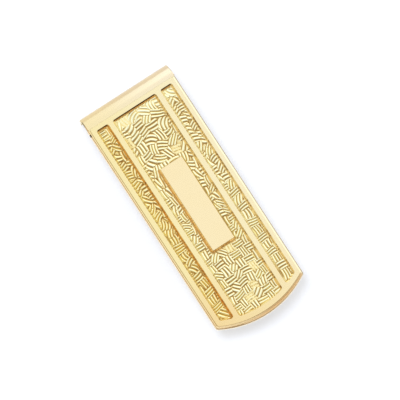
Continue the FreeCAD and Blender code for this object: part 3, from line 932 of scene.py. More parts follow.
@dataclass
class FacePlate:
    """The polished front: a pierced plate whose upper end is rolled round the hinge pin.

    Attributes:
        half_width: half the plate's width.
        arc: radius of the arc end and height of its middle.
        corner, upper_corner: radii of the corners at the arc and at the seam.
        step: longest run of the outline.
        edge_round: radius of the rim's round.
        round_steps: pieces in that round.
        seam_share: share of the round along the seam, where the roll begins.
        arc_share: share of the round along the arc, at arc_span's first X and at its last.
        arc_turn: turns to -Y between which the arc's share sets in.
        flare: reach of the rim's foot, which flares along the arc.
        flare_turn: turns to -Y between which the flare sets in.
        rim_shades: painted shade of the rim.
        growth: strength of that painted shade along the arc, at growth_span's first X and at its
            last.
        growth_turn: turn to -Y from which a rim counts as the arc's.
        window_top, window_arc, window_corner: upper ends, arc ends and corners of the windows.
        window_spans: X of the two sides of each window.
        window_steps: pieces in a window's corners and in its arc end.
        wall_draft: how far the windows' walls lean in, in degrees.
        wall_round: radius of the windows' lip.
        wall_steps: pieces in the lip and in the wall.
        wall_shades: painted shade and light of the windows' walls.
        warm_share: share of the warm shade that shows in each window.
        low_wall_light: painted light on the walls at the arc ends, which look to +Y.
        low_depth: depth from which that factor holds.
        roll_outer, roll_inner: radii of the roll.
        roll_corner: radius of the corners of its section.
        roll_steps: pieces in those corners, in the section's long runs and in the ends' round.
        roll_ends: X of its two ends.
        roll_turn: angles round the hinge axis where it begins and ends, in degrees.
        roll_rim: how far its ends draw in.
        roll_front, roll_back: painted light on its front and painted shade on its far side.
        roll_far: angles at which the painted shade of the far side sets in and where it is full,
            in degrees.
        roll_end_shadow: painted shadow on its ends, by angle.
        roll_end_shadow_share: strength of that painted shadow on the -X and on the +X end.
    """

    half_width: float = 9.75
    arc: Pair = (20.0, -4.7)
    corner: float = 0.7
    upper_corner: float = 0.12
    step: float = 0.25
    edge_round: float = 0.45
    round_steps: int = 9
    seam_share: float = 0.018
    arc_share: Pair = (0.50, 0.74)
    arc_span: Pair = (-8.0, 0.0)
    arc_turn: Pair = (0.2, 0.8)
    flare: float = 0.14
    flare_turn: Pair = (0.2, 0.5)
    rim_shades: WallShades = WallShades(
        dark=Shade((0.0, 0.05, 0.15, 0.3, 0.5, 0.65),
                   ((1, 1, 1), (0.84, 0.72, 0.57), (0.74, 0.56, 0.36), (0.50, 0.31, 0.14),
                    (0.58, 0.37, 0.18), (0.74, 0.50, 0.28))),
        warm=Shade((0.0, 0.12, 0.3, 0.65), ((1, 1, 1), (1.0, 0.95, 0.88), (1.0, 0.90, 0.72),
                                            (1.0, 0.86, 0.66))),
        olive=Shade((0.0, 0.65), ((1, 1, 1), (1, 1, 1))))
    growth: Pair = (0.15, 1.15)
    growth_span: Pair = (-5.0, 5.0)
    growth_turn: float = 0.3
    window_top: float = 21.72
    window_arc: Pair = WINDOW_ARC
    window_corner: float = 0.45
    window_spans: tuple[Pair, ...] = ((-8.55, -5.92), (-4.9, 4.90), (5.975, 8.575))
    window_steps: tuple[int, int] = (6, 24)
    wall_draft: float = 27.0
    wall_round: float = 0.07
    wall_steps: tuple[int, int] = (4, 12)
    wall_shades: WallShades = WallShades(
        dark=Shade((0.0, 0.010, 0.36, 0.42, 0.65),
                   ((1, 1, 1), (0.07, 0.02, 0.005), (0.07, 0.02, 0.005), (1.0, 0.66, 0.42),
                    (1.0, 0.66, 0.42))),
        warm=Shade((0.0, 0.08, 0.35, 0.48, 0.65),
                   ((1, 1, 1), (1.0, 0.80, 0.53), (0.79, 0.43, 0.19), (0.84, 0.50, 0.25),
                    (1.10, 0.90, 0.64))),
        olive=Shade((0.0, 0.06, 0.20, 0.36, 0.48, 0.65),
                    ((1, 1, 1), (0.94, 0.93, 0.95), (0.74, 0.75, 0.98), (0.82, 0.86, 1.15),
                     (1.10, 1.18, 1.50), (1.15, 1.25, 1.55))))
    warm_share: tuple[float, ...] = (1.0, 0.50, 0.50)
    low_wall_light: Colour = (1.03, 1.06, 1.25)
    low_depth: float = 0.05
    roll_outer: float = 2.746
    roll_inner: float = 2.10
    roll_corner: float = 0.018
    roll_steps: tuple[int, int, int] = (5, 48, 5)
    roll_ends: Pair = (-9.98, 9.94)
    roll_turn: Pair = (90.0, -35.0)
    roll_rim: float = 0.24
    roll_front: Colour = (0.985, 0.97, 1.08)
    roll_back: Colour = (0.76, 0.66, 0.62)
    roll_far: Pair = (52.0, 43.0)
    roll_end_shadow: Shade = Shade((36.0, 44.0, 66.0, 76.0, 92.0),
                             ((1, 1, 1), (0.16, 0.14, 0.14), (0.22, 0.17, 0.16),
                              (0.60, 0.42, 0.30), (0.80, 0.66, 0.52)))
    roll_end_shadow_share: Pair = (1.0, 0.35)

    def window_lines(self) -> list[Line]:
        """The three windows at face height."""
        return [arched_line(left, right, self.window_top, self.window_arc, self.window_corner,
                            self.window_steps) for left, right in self.window_spans]

    def rim_share(self, line: Line) -> tuple[Array, Array]:
        """Scales of the rim's round and of its flared foot along the outline.

        The round is full along the sides, fine along the seam, and narrower along the arc, most
        of all on its -X part. At the seam's corners it goes from full to fine as the square of
        the turn to +Y.

        Args:
            line: the outline.

        Returns:
            The scale of the round and the scale of the flare at each point, (n,).
        """
        x, turn = line.points[:, 0], line.outward[:, 1]
        upper = line.points[:, 1] > AXIS_Y - self.upper_corner - 1e-6
        fine = (self.seam_share - 1.0) * np.clip(turn, 0.0, 1.0) ** 2
        share = np.where(upper, 1.0 + fine, 1.0)
        narrow = eased(x, self.arc_span, self.arc_share)
        share = share * (1.0 - (1.0 - narrow) * smooth_step(-turn, *self.arc_turn))
        return share, smooth_step(-turn, *self.flare_turn)

    def painted_rim_shade(self, line: Line, depth: Array) -> Array:
        """Painted shade of the rim; the painted shade of the arc grows from -X to +X.

        Args:
            line: the outline.
            depth: depths of the rim's rows, (m,).

        Returns:
            The factors, (m, n, 3).
        """
        tone = self.rim_shades.on(depth, line.outward)
        along = eased(line.points[:, 0], self.growth_span, self.growth)
        growth = np.where(line.outward[:, 1] < -self.growth_turn, along, 1.0)[None, :, None]
        return 1.0 + growth * (tone - 1.0)

    def wall(self) -> Array:
        """Profile of a window's wall: a strip of the face, the round lip and the leaning wall.

        Reach is counted out of the window, so the lip starts outside it.

        Returns:
            Reach and height, (m, 2).
        """
        ease = quarter_round(self.wall_round, FACE_Z, self.wall_steps[0])[::-1]
        lean = math.tan(math.radians(self.wall_draft)) * (FACE_Z - FLOOR_Z)
        foot, start = np.array([[-lean, FLOOR_Z]]), ease[-1:]
        down = start + (foot - start) * np.linspace(0.0, 1.0, self.wall_steps[1] + 1)[1:, None]
        lip = np.stack([-ease[:, 0], ease[:, 1]], axis=1)
        return np.concatenate([[[self.wall_round + FACE_LAP, FACE_Z]], lip, down])

    def painted_wall_shading(self, window: Line, depth: Array, warm: float) -> Array:
        """Painted shade and light of a window's wall, which looks the other way than the window's
        line.

        Args:
            window: the window's line.
            depth: depths of the wall's rows, (m,).
            warm: share of the warm shade that shows.

        Returns:
            The factors, (m, n, 3).
        """
        tone = self.wall_shades.on(depth, -window.outward)
        facing = smooth_step(window.outward[:, 0], *TURN_X)[None, :, None]
        tone += facing * (1.0 - warm) * (1.0 - tone)
        # Painted light on the walls at the arc ends, which look to +Y.
        low = smooth_step(-window.outward[:, 1], *TURN_Y)[None, :, None]
        below = (depth > self.low_depth)[:, None, None]
        return tone + low * below * (np.asarray(self.low_wall_light) - 1.0)

    def plate(self, shell: Shell) -> Array:
        """The pierced plate: rim profile and window walls joined by a flat face and underside.

        The rim goes up from a flared foot and then round through a quarter circle, and its reach
        shrinks to a fine round along the seam, where the roll begins. A window wall leans inwards
        by its draft as it goes down.

        Args:
            shell: where the surface is put.

        Returns:
            The painted shade and light factors and the gloss of its points, (n, 4).
        """
        line = arched_line(-self.half_width, self.half_width, AXIS_Y, self.arc, self.corner,
                           upper=self.upper_corner).refined(self.step)
        share, spread = self.rim_share(line)
        rise = quarter_round(self.edge_round, FACE_Z, self.round_steps)
        rim = np.concatenate([[[self.flare, FLOOR_Z]], rise,
                              [[-self.edge_round - FACE_LAP, FACE_Z]]])
        scale = np.concatenate([spread[None], np.broadcast_to(share, (len(rim) - 1, len(share)))])
        outer = shell.swept(line, rim, scale)
        # Painted shade on the rim.
        tones = [with_gloss(self.painted_rim_shade(line, FACE_Z - rim[:, 1]))]
        tops, feet = [outer[-1]], [outer[0]]
        wall = self.wall()
        for window, warm in zip(self.window_lines(), self.warm_share):
            rows = shell.swept(window, wall)
            tops.append(rows[0])
            feet.append(rows[-1])
            # Painted shade and light on the window's walls.
            tone = self.painted_wall_shading(window, FACE_Z - wall[:, 1], warm)
            tones.append(with_gloss(tone, soiled_gloss(tone)))
        shell.cap(tops, (0, 0, 1))
        shell.cap(feet, (0, 0, -1))
        return np.concatenate(tones)

    def section(self) -> tuple[Array, Array, Array]:
        """The roll's section: a rectangle of angle and radius, bent round the hinge axis.

        Returns:
            Y and Z of its points, (n, 2), their angles in degrees, (n,), and their radii, (n,).
        """
        first, last = (math.radians(a) for a in self.roll_turn)
        ease, radius = self.roll_corner, self.roll_outer
        half = ((first - last) * radius / 2, (radius - self.roll_inner) / 2)
        flat = boxed_line(half, (0.0, 0.0), ease, self.roll_steps[0]).points
        # The long straight runs get enough points to follow the bend.
        run = np.linspace(-half[0] + ease, half[0] - ease, self.roll_steps[1] + 1)[1:-1]
        upper = np.stack([run[::-1], np.full(len(run), half[1])], axis=1)
        lower = np.stack([run, np.full(len(run), -half[1])], axis=1)
        quarter = len(flat) // 4
        whole = np.concatenate([flat[:quarter], upper, flat[quarter:3 * quarter], lower,
                                flat[3 * quarter:]])[::-1]
        angle = (first + last) / 2 + whole[:, 0] / radius
        reach = (self.roll_inner + radius) / 2 + whole[:, 1]
        ring = np.stack([AXIS_Y + reach * np.cos(angle), AXIS_Z + reach * np.sin(angle)], axis=1)
        return ring, np.degrees(angle), reach

    def roll(self, shell: Shell) -> Array:
        """The roll: a thick open ring section, run along X, with its rims eased.

        Along X the section keeps its size but for the last part at each end, where it draws in
        through a quarter circle.

        Args:
            shell: where the surface is put.

        Returns:
            The painted light and shade factors and the gloss of its points, (n, 4).
        """
        ring, angle, reach = self.section()
        line = line_through(ring)
        turn = np.radians(np.linspace(0, 90, self.roll_steps[2] + 1))
        drawn = self.roll_rim * (1 - np.sin(turn))
        drop = self.roll_rim * (1 - np.cos(turn))
        along = np.concatenate([self.roll_ends[0] + drop, (self.roll_ends[1] - drop)[::-1]])
        inset = np.concatenate([drawn, drawn[::-1]])
        rows = line.points[None] - inset[:, None, None] * line.outward[None]
        across = np.broadcast_to(along[:, None, None], (*rows.shape[:2], 1))
        numbers = shell.add(np.concatenate([across, rows], axis=-1))
        shell.skin(numbers)
        shell.cap([numbers[0]], (-1, 0, 0))
        shell.cap([numbers[-1]], (1, 0, 0))
        # Painted light on the front of the roll and painted shade on its far side.
        outside = reach > (self.roll_inner + self.roll_outer) / 2
        far = smooth_step(angle, *self.roll_far) * outside
        front = np.asarray(self.roll_front)
        tone = front + far[:, None] * (np.asarray(self.roll_back) - front)
        # The painted shadow is on the two ends and fades out before the middle rows.
        middle = len(numbers) // 2
        shadow_share = np.interp(np.arange(len(numbers)), (middle - 2, middle - 1, middle, middle + 1),
                           (self.roll_end_shadow_share[0], 0.0, 0.0, self.roll_end_shadow_share[1]))
        shadow = self.roll_end_shadow.at(angle)
        return with_gloss(tone * (1.0 + shadow_share[:, None, None] * (shadow - 1.0)))

    def build(self) -> bpy.types.Object:
        """Makes the front as one mesh of two closed surfaces.

        Returns:
            The object.
        """
        shell = Shell()
        tone = np.concatenate([self.plate(shell), self.roll(shell)])
        thing = shell.piece("polished_front")
        store_painted_light(thing, tone)
        return thing

    def dress(self, thing: bpy.types.Object, finish: bpy.types.Material) -> Piece:
        """Gives the front its finish and says what it stands for."""
        thing.data.materials.append(finish)
        return Piece(thing, Body.FRONT, Slot.POLISHED, ("front_plate",))


@dataclass
class Plaque:
    """The smooth bar for engraving, standing in the middle window.

    Attributes:
        half: half its width and half its length at the face.
        centre: its middle.
        corner: radius of its corners.
        edge_round: radius of its upper edge.
        round_steps: pieces in that edge.
        side_steps: pieces in the sides below it.
        draft: how far the sides lean out at most.
        upright: share of the draft taken off the sides at +X, -X, +Y and -Y.
        shades: painted shade of the sides.
        hinge_side: painted light on the side that looks to +Y.
        hinge_depths: depths between which that factor sets in.
    """

    half: Pair = (2.46, 9.29)
    centre: Pair = (0.09, -0.35)
    corner: float = 0.2
    edge_round: float = 0.2
    round_steps: int = 6
    side_steps: int = 6
    draft: float = 0.40
    upright: tuple[float, float, float, float] = (0.55, 0.12, 0.92, 0.15)
    shades: WallShades = WallShades(
        dark=Shade((0.0, 0.04, 0.2, 0.4, 0.65), ((1, 1, 1), (1.0, 0.95, 0.85), (1.0, 0.86, 0.70),
                                                (1.03, 0.76, 0.58), (1.02, 0.72, 0.52))),
        warm=Shade((0.0, 0.04, 0.2, 0.4, 0.65), ((1, 1, 1), (1.0, 0.96, 0.90), (1.03, 0.88, 0.70),
                                                (0.95, 0.66, 0.38), (0.82, 0.50, 0.24))),
        olive=Shade((0.0, 0.05, 0.3, 0.65), ((1, 1, 1), (0.98, 0.96, 0.92), (0.74, 0.74, 0.66),
                                             (0.84, 0.88, 0.80))))
    hinge_side: Colour = (1.03, 1.2, 1.75)
    hinge_depths: Pair = (0.03, 0.1)

    def share(self, outward: Array) -> Array:
        """Share of the draft: 1 less the upright share times the squared turn to each side.

        Args:
            outward: unit vector out of the bar at each point, (n, 2).

        Returns:
            The share at each point, (n,).
        """
        turns = np.stack([outward[:, 0], -outward[:, 0], outward[:, 1], -outward[:, 1]])
        return 1.0 - np.asarray(self.upright) @ np.clip(turns, 0, 1) ** 2

    def build(self) -> bpy.types.Object:
        """Makes the bar: a round-cornered box whose sides widen to the foot, edges softened.

        Returns:
            The object.
        """
        shell = Shell()
        line = boxed_line(self.half, self.centre, self.corner)
        rise = quarter_round(self.edge_round, FACE_Z, self.round_steps)
        foot = np.array([[self.draft, FLOOR_Z]])
        side = foot + (rise[:1] - foot) * np.linspace(0.0, 1.0, self.side_steps + 1)[:-1, None]
        profile = np.concatenate([side, rise, [[-self.edge_round - FACE_LAP, FACE_Z]]])
        rows = shell.swept(line, profile, self.share(line.outward))
        shell.cap([rows[-1]], (0, 0, 1))
        shell.cap([rows[0]], (0, 0, -1))
        thing = shell.piece("engraving_bar")
        depth = FACE_Z - profile[:, 1]
        # Painted shade on the sides, and painted light on the side that looks to +Y.
        tone = self.shades.on(depth, line.outward)
        upper = smooth_step(line.outward[:, 1], *TURN_Y)[None, :, None]
        upper = upper * smooth_step(depth, *self.hinge_depths)[:, None, None]
        tone = tone * (1.0 + upper * (np.asarray(self.hinge_side) - 1.0))
        store_painted_light(thing, with_gloss(tone, soiled_gloss(tone)))
        return thing

    def dress(self, thing: bpy.types.Object, finish: bpy.types.Material) -> Piece:
        """Gives the bar its finish and says what it stands for."""
        thing.data.materials.append(finish)
        return Piece(thing, Body.FRONT, Slot.POLISHED, ("engraving_plaque",))


@dataclass(frozen=True)
class CellHabits:
    """How the cells of the weave and the ridges in them vary.

    Angles are in radians. Where a line names two numbers, they are what a quiet cell has and
    what a lively one has on top.

    Attributes:
        waves: the waves that bend the lattice across, then those that bend it along: size, rate
            in the other direction, rate in its own, and delay for each step of the seed.
        stray: how far a cell's middle lies off the lattice, in pitches.
        swirl: draw above which a cell turns away from the others, and how far.
        slant_wave: rate along Y and delay of the wave that slants the upright cells.
        turn: random turn (two numbers).
        turn_wave: size of the waved turn of lively cells, and its rates along X and Y.
        bend: bend of the ridges, per millimetre (two numbers).
        fan: spread of the ridges, per millimetre (two numbers).
        half_long, half_wide: half a cell's length and width in pitches, and how they vary.
        handicap: how far a cell gives way to its neighbours.
        ridge: width of a ridge, in millimetres.
        top: power that widens the ridges' tops.
        edge: run over which a cell's edge drops, in half lengths.
        dive: how much lower the ridges are at their ends.
        uneven: how much one cell is struck higher than another.
    """

    waves: tuple[tuple[tuple[float, float, float, float], ...], ...] = (
        ((0.16, 0.61, 0.0, 0.3), (0.10, 1.3, 1.0, 0.0)),
        ((0.16, 0.83, 0.0, 0.7), (0.12, 1.1, -0.6, 0.0)))
    stray: float = 0.16
    swirl: Pair = (0.88, 0.75)
    slant_wave: Pair = (0.25, 1.4)
    turn: Pair = (0.10, 0.75)
    turn_wave: Triple = (0.35, 0.5, 0.33)
    bend: Pair = (0.05, 0.20)
    fan: Pair = (0.04, 0.12)
    half_long: Pair = (0.54, 0.10)
    half_wide: Pair = (0.50, 0.08)
    handicap: float = 0.05
    ridge: float = 0.56
    top: float = 0.78
    edge: float = 0.14
    dive: float = 0.28
    uneven: float = 0.12


@dataclass
class BasketRelief:
    """The struck basket weave that shows in one window.

    Each cell of a loose lattice holds a handful of parallel rounded ridges, and neighbours are
    turned about a right angle to each other. Towards the hinge the cells turn and bend freely.

    Attributes:
        name: the piece's name.
        left, right: the window's sides at its foot.
        seed: picks the random draws.
        grain_seed, pit_seed: what is added to it for the draws of the grain and of the pits.
        pitch: spacing of the lattice across and along.
        shift: moves the lattice across and along.
        height: how far the ridges stand up.
        lively: Y between which the cells grow lively.
        slant: how far the upright cells of the lively part lean over, to and fro.
        side_levels: relief at the foot of the window's walls, at -X and at +X.
        blanks: places whose cells are struck almost flat.
        step: spacing of the grid.
        under: height of the underside.
        lift: how far the valleys lie above the floor.
        tallest: most that the relief may reach, in ridge heights.
        top, arc: upper end of the window, and radius and middle of its arc end.
        lowest: Y of the arc end, for the number of rows.
        foot: how far the window's walls lean in.
        tuck: how far the relief goes under the walls.
        looser: how much larger the cells are towards the hinge.
        looser_span: Y between which they grow.
        habits: how the cells vary.
        blank_share, blank_level, blank_grain: how flat a blank cell is, its level, its grain.
        block: places across a grain.
        bar: -X, -Y, +X and +Y side of the plaque's foot.
        bar_runs: widths over which the relief rises beside those sides.
        wall_runs: the same beside the window's walls at -X, +X and +Y.
        margin_rise: parts of a width at which the relief starts to rise and is full.
        level: relief at the foot of the plaque and of the wall at +Y.
        beside: width beside the walls at -X and +X that takes the side levels.
        fill: how far the valleys are filled up towards the hinge.
        fill_span: Y between which they fill up.
        pits: pits per square millimetre.
        pit: radius of a pit.
        pit_depth: share of the relief that a pit takes.
        pit_span: middle and half length along Y of the area with pits.
        sharp: angle in degrees above which an edge stays sharp.
    """

    name: str
    left: float
    right: float
    seed: int
    pitch: Pair = (1.72, 1.68)
    shift: Pair = (0.0, 0.0)
    height: float = 0.19
    lively: Pair = (-12.0, 12.0)
    slant: float = 0.0
    side_levels: Pair = (0.27, 0.28)
    blanks: tuple[Pair, ...] = ()
    step: float = 0.074
    under: float = 4.62
    lift: float = 0.005
    tallest: float = 1.2
    top: float = 21.7
    arc: Pair = WINDOW_ARC
    lowest: float = -23.3
    foot: float = WALL_LEAN
    tuck: float = 0.08
    looser: float = 0.13
    looser_span: Pair = (-8.0, 8.0)
    habits: CellHabits = CellHabits()
    blank_share: float = 0.68
    blank_level: float = 0.32
    blank_grain: float = 0.19
    block: int = 3
    bar: tuple[float, float, float, float] = (-2.78, -10.06, 2.75, 9.02)
    bar_runs: tuple[float, float, float, float] = (0.14, 0.10, 0.04, 0.03)
    wall_runs: Triple = (0.03, 0.08, 0.26)
    margin_rise: Pair = (-0.2, 1.0)
    level: float = 0.14
    beside: float = 0.1
    fill: float = 0.22
    fill_span: Pair = (18.0, 20.5)
    pits: float = 0.16
    pit: float = 0.11
    pit_depth: float = 0.8
    pit_span: Pair = (-1.3, 22.0)
    grain_seed: int = 50
    pit_seed: int = 90
    sharp: float = 60.0

    def grid(self) -> tuple[Array, Array]:
        """Places of the grid: columns run from side to side, rows from the top to the arc.

        The arc's Y is its middle less the root of the squared radius less the squared X, and
        the rows divide each column evenly.

        Returns:
            X and Y, each (rows, columns), in millimetres.
        """
        left, right = self.left - self.tuck, self.right + self.tuck
        columns = max(2, int(round((right - left) / self.step)) + 1)
        top = self.top - self.foot + self.tuck
        rows = int(round((top - self.lowest) / self.step)) + 1
        x = np.linspace(left, right, columns)
        radius = self.arc[0] - self.foot + self.tuck
        low = self.arc[1] - np.sqrt(radius**2 - x**2)
        share = np.linspace(0.0, 1.0, rows)[:, None]
        return np.broadcast_to(x, (rows, columns)).copy(), top + share * (low[None] - top)

    def loosened(self, y: Array) -> Array:
        """Scale of distances: 1 towards the arc, and an eighth less towards the hinge."""
        return 1.0 - self.looser * smooth_step(np.asarray(y), *self.looser_span)

    def bent(self, own: Array, other: Array, which: int) -> Array:
        """A coordinate moved by waves: size times the sine of rates times places, delayed.

        Args:
            own: the coordinate.
            other: the other coordinate.
            which: 0 for X, 1 for Y.

        Returns:
            The moved coordinate.
        """
        moved = own
        for size, rate, own_rate, delay in self.habits.waves[which]:
            moved = moved + size * np.sin(rate * other + own_rate * own + delay * self.seed)
        return moved

    def cells(self, x: Array, y: Array) -> tuple[Array, Array]:
        """Relief and flat share over the grid.

        A place belongs to the cell for which the larger of its two distances from the cell's
        middle, along and across the ridges, is smallest when each is measured in half lengths
        of that cell. The gap to the second smallest tells how near the cell's edge is. All
        distances shrink by an eighth towards the hinge, so the cells there are larger.

        Args:
            x, y: places in millimetres.

        Returns:
            The height from 0 to 1 and the flat share, both shaped like x.
        """
        loose = self.loosened(y)
        x, y = x * loose, y * loose
        x, y = self.bent(x, y, 0), self.bent(y, x, 1)
        column = np.floor((x - self.shift[0]) / self.pitch[0]).astype(int)
        row = np.floor((y - self.shift[1]) / self.pitch[1]).astype(int)
        # Cells up to two away from a place can reach it; the draws cover one more.
        near, spare, draws = range(-2, 3), 3, 9
        first = (column.min() - spare, row.min() - spare)
        shape = (column.max() - first[0] + spare + 1, row.max() - first[1] + spare + 1)
        draw = scattered((draws, *shape), self.seed)
        best, second = np.full((2, *x.shape), np.inf)
        kept = np.zeros((5, *x.shape))
        for i in near:
            for j in near:
                reach, fresh = self.one_cell(x, y, column + i, row + j, first, draw)
                nearer = reach < best
                second = np.where(nearer, best, np.minimum(second, reach))
                best = np.where(nearer, reach, best)
                kept = np.where(nearer[None], fresh, kept)
        return self.ridges(kept, second - best)

    def blank(self, mid_x: Array, mid_y: Array) -> Array:
        """Flat share of cells: blank_share within half a pitch of a blank place, else 0.

        Args:
            mid_x, mid_y: the cells' middles.

        Returns:
            The share, shaped like mid_x.
        """
        flat = np.zeros(mid_x.shape)
        for x, y in self.blanks:
            loose = self.loosened(y)
            near = np.maximum(np.abs(mid_x - x * loose) / self.pitch[0],
                              np.abs(mid_y - y * loose) / self.pitch[1])
            flat = np.maximum(flat, self.blank_share * (near < 0.5))
        return flat

    def one_cell(self, x: Array, y: Array, column: Array, row: Array, first: tuple[int, int],
                 draw: Array) -> tuple[Array, Array]:
        """How far each place is from the cell with this column and row, and its place in it.

        The cell's turn is the chequerboard's right angle, which a wave along Y slants, plus a
        random and a waved part that grow towards the hinge. The ridges bend as the square of
        the distance along them and fan out a little.

        Args:
            x, y: places.
            column, row: the cell's numbers at each place.
            first: lowest column and row of the random draws.
            draw: random numbers by cell.

        Returns:
            The distance in half lengths, and for ridges: distance along and across the ridges,
            half width, flat share and offset, (5, ...).
        """
        h = self.habits
        pick = draw[:, column - first[0], row - first[1]]
        across, along = self.pitch
        lively = smooth_step((row + 0.5) * along + self.shift[1], *self.lively)
        mid_x = (column + 0.5 + h.stray * pick[0]) * across + self.shift[0]
        mid_y = (row + 0.5 + h.stray * pick[1]) * along + self.shift[1]
        swirl = np.where(np.abs(pick[2]) > h.swirl[0], h.swirl[1] * np.sign(pick[2]), 0.0)
        slanted = self.slant * lively * np.sin(h.slant_wave[0] * mid_y - h.slant_wave[1])
        waved = h.turn_wave[0] * np.sin(h.turn_wave[1] * mid_x + h.turn_wave[2] * mid_y)
        turn = (np.pi / 2 * (1.0 + slanted) * ((column + row) % 2) + h.turn[0] * pick[3] + swirl
                + lively * (h.turn[1] * pick[4] + waved))
        dx, dy = x - mid_x, y - mid_y
        u = dx * np.cos(turn) + dy * np.sin(turn)
        v = dy * np.cos(turn) - dx * np.sin(turn)
        bend = (h.bend[0] + h.bend[1] * lively) * pick[5]
        v = (v + bend * u**2) * (1.0 + (h.fan[0] + h.fan[1] * lively) * pick[6] * u)
        half_long = across * (h.half_long[0] + h.half_long[1] * pick[7])
        half_wide = across * (h.half_wide[0] + h.half_wide[1] * pick[8])
        reach = np.maximum(np.abs(u) / half_long, np.abs(v) / half_wide) + h.handicap * pick[4]
        return reach, np.stack([u / half_long, v, half_wide, self.blank(mid_x, mid_y), pick[6]])

    def ridges(self, kept: Array, gap: Array) -> tuple[Array, Array]:
        """Rounded ridges inside the cells.

        The height across a ridge is a raised cosine with a slightly widened top. It drops to
        nothing over a short run at the cell's edge, and a little towards the ends of the
        ridges, where they dive under their neighbours. A blank cell keeps faint ridges.

        Args:
            kept: along (-1 to 1), across in millimetres, half width, flat share, offset.
            gap: how far the cell's edge is, in half lengths.

        Returns:
            The height from 0 to 1 and the flat share.
        """
        h = self.habits
        along, across, half_wide, flat, offset = kept
        count = np.maximum(2.0, np.round(2.0 * half_wide / h.ridge))
        place = across / (2.0 * half_wide / count) + 0.5 * (count % 2 == 0) + 0.5
        within = np.abs(2.0 * (place - np.floor(place)) - 1.0)
        crest = (0.5 + 0.5 * np.cos(np.pi * within)) ** h.top
        edge = np.sqrt(np.clip(gap / h.edge, 0.0, 1.0))
        dive = 1.0 - h.dive * np.clip(along, -1, 1) ** 2
        height = crest * edge * dive * (1.0 + h.uneven * offset)
        return height * (1.0 - flat) + self.blank_level * flat, flat

    def margin(self, x: Array, y: Array) -> Array:
        """Share of the relief left beside the window's walls and the plaque: 0 at their foot.

        Each side's share rises over its own width; the smallest of them counts.

        Args:
            x, y: places in millimetres.

        Returns:
            The share from 0 to 1, shaped like x.
        """
        left, low, right, high = self.bar
        past = (left - x, low - y, x - right, y - high)
        clear = np.maximum.reduce([far / run for far, run in zip(past, self.bar_runs)])
        inside = (x - self.left, self.right - x, self.top - self.foot - y)
        sides = [far / run for far, run in zip(inside, self.wall_runs)]
        return smooth_step(np.minimum.reduce([*sides, clear]), *self.margin_rise)

    def pitted(self, x: Array, y: Array) -> Array:
        """Small round pits: the deepest of the bells exp(-(distance / radius)^2) at each place.

        Args:
            x, y: places in millimetres.

        Returns:
            The depth from 0 to 1, shaped like x.
        """
        width, (middle, half) = self.right - self.left, self.pit_span
        count = max(1, int(width * (2 * half) * self.pits))
        draw = scattered((count, 2), self.seed + self.pit_seed)
        mid_x = (self.left + self.right) / 2 + draw[:, 0] * width / 2
        mid_y = middle + draw[:, 1] * half
        deep = np.zeros_like(x)
        for px, py in zip(mid_x, mid_y):
            deep = np.maximum(deep, np.exp(-((x - px) ** 2 + (y - py) ** 2) / self.pit**2))
        return deep

    def relief(self, x: Array, y: Array) -> Array:
        """Relief over the grid: the cells, grained, filled up towards the hinge and pitted.

        The grain is one random number for each square block of places. Beside walls and
        plaque the relief goes over to the level at their foot.

        Args:
            x, y: places in millimetres.

        Returns:
            The relief from 0 in the valleys to about 1 on the ridges, shaped like x.
        """
        height, flat = self.cells(x, y)
        rows, columns, block = *x.shape, self.block
        rough = scattered((rows // block + 1, columns // block + 1), self.seed + self.grain_seed)
        rough = rough.repeat(block, axis=0).repeat(block, axis=1)[:rows, :columns]
        height = height + self.blank_grain * rough * flat
        full = self.fill * smooth_step(y, *self.fill_span)
        height = 1.0 - (1.0 - height) * (1.0 - full)
        height = height * (1.0 - self.pit_depth * self.pitted(x, y))
        margin = self.margin(x, y)
        sides = [x < self.left + self.beside, x > self.right - self.beside]
        foot = np.select(sides, list(self.side_levels), self.level)
        return height * margin + foot * (1.0 - margin)

    def build(self) -> bpy.types.Object:
        """Makes the relief as a closed slab: struck top, straight sides and a flat underside.

        Returns:
            The object.
        """
        x, y = self.grid()
        relief = self.relief(x, y)
        z = FLOOR_Z + self.lift + self.height * np.clip(relief, 0.0, self.tallest)
        shell = Shell()
        top = shell.add(np.stack([x, y, z], axis=-1))
        shell.skin(top, closed=False, flip=True)
        loop = np.concatenate([top[0, :-1], top[:-1, -1], top[-1, :0:-1], top[:0:-1, 0]])
        plan = np.stack([x, y, np.full_like(x, self.under)], axis=-1).reshape(-1, 3)
        low = shell.add(plan[loop])
        shell.skin(np.stack([low, loop]), flip=True)
        shell.cap([low], (0, 0, -1))
        thing = shell.piece(self.name, self.sharp)
        layer = thing.data.attributes.new(RELIEF_LAYER, "FLOAT", "POINT")
        values = np.concatenate([relief.ravel(), np.zeros(len(loop))])
        layer.data.foreach_set("value", values.astype(np.float32))
        return thing

    def dress(self, thing: bpy.types.Object, finish: bpy.types.Material) -> Piece:
        """Gives the relief its finish."""
        thing.data.materials.append(finish)
        return Piece(thing, Body.FRONT, Slot.WOVEN)


@dataclass
class CarriedNodes:
    """The CAD nodes that keep their own shape and get a detailed finish.

    Attributes:
        finishes: the palette's name of each node's finish.
    """

    # The woven_sheet has no relief layer, so the woven finish gives it the painted valley shade
    # all over.
    finishes: dict[str, str] = field(default_factory=lambda: {
        "woven_sheet": "woven", "back_plate": "backing", "clip_arm": "satin",
        "hinge_pin": "brass", "spring_rivet_left": "brass", "spring_rivet_right": "brass",
        "snap_spring": "steel"})

    def dress(self, nodes: dict[str, bpy.types.Object],
              made: dict[str, bpy.types.Material]) -> None:
        """Puts the finishes into the nodes' own material slots.

        Args:
            nodes: the CAD objects by node name.
            made: the materials by the palette's names.
        """
        for name, finish in self.finishes.items():
            node = nodes[name]
            if not node.material_slots:
                node.data.materials.append(made[finish])
            for place in node.material_slots:
                place.material = made[finish]
            LOG.info("%s keeps its CAD shape in %s", name, finish)


# ----------------------------------------------------------------------------------------------
# Studio
# ----------------------------------------------------------------------------------------------


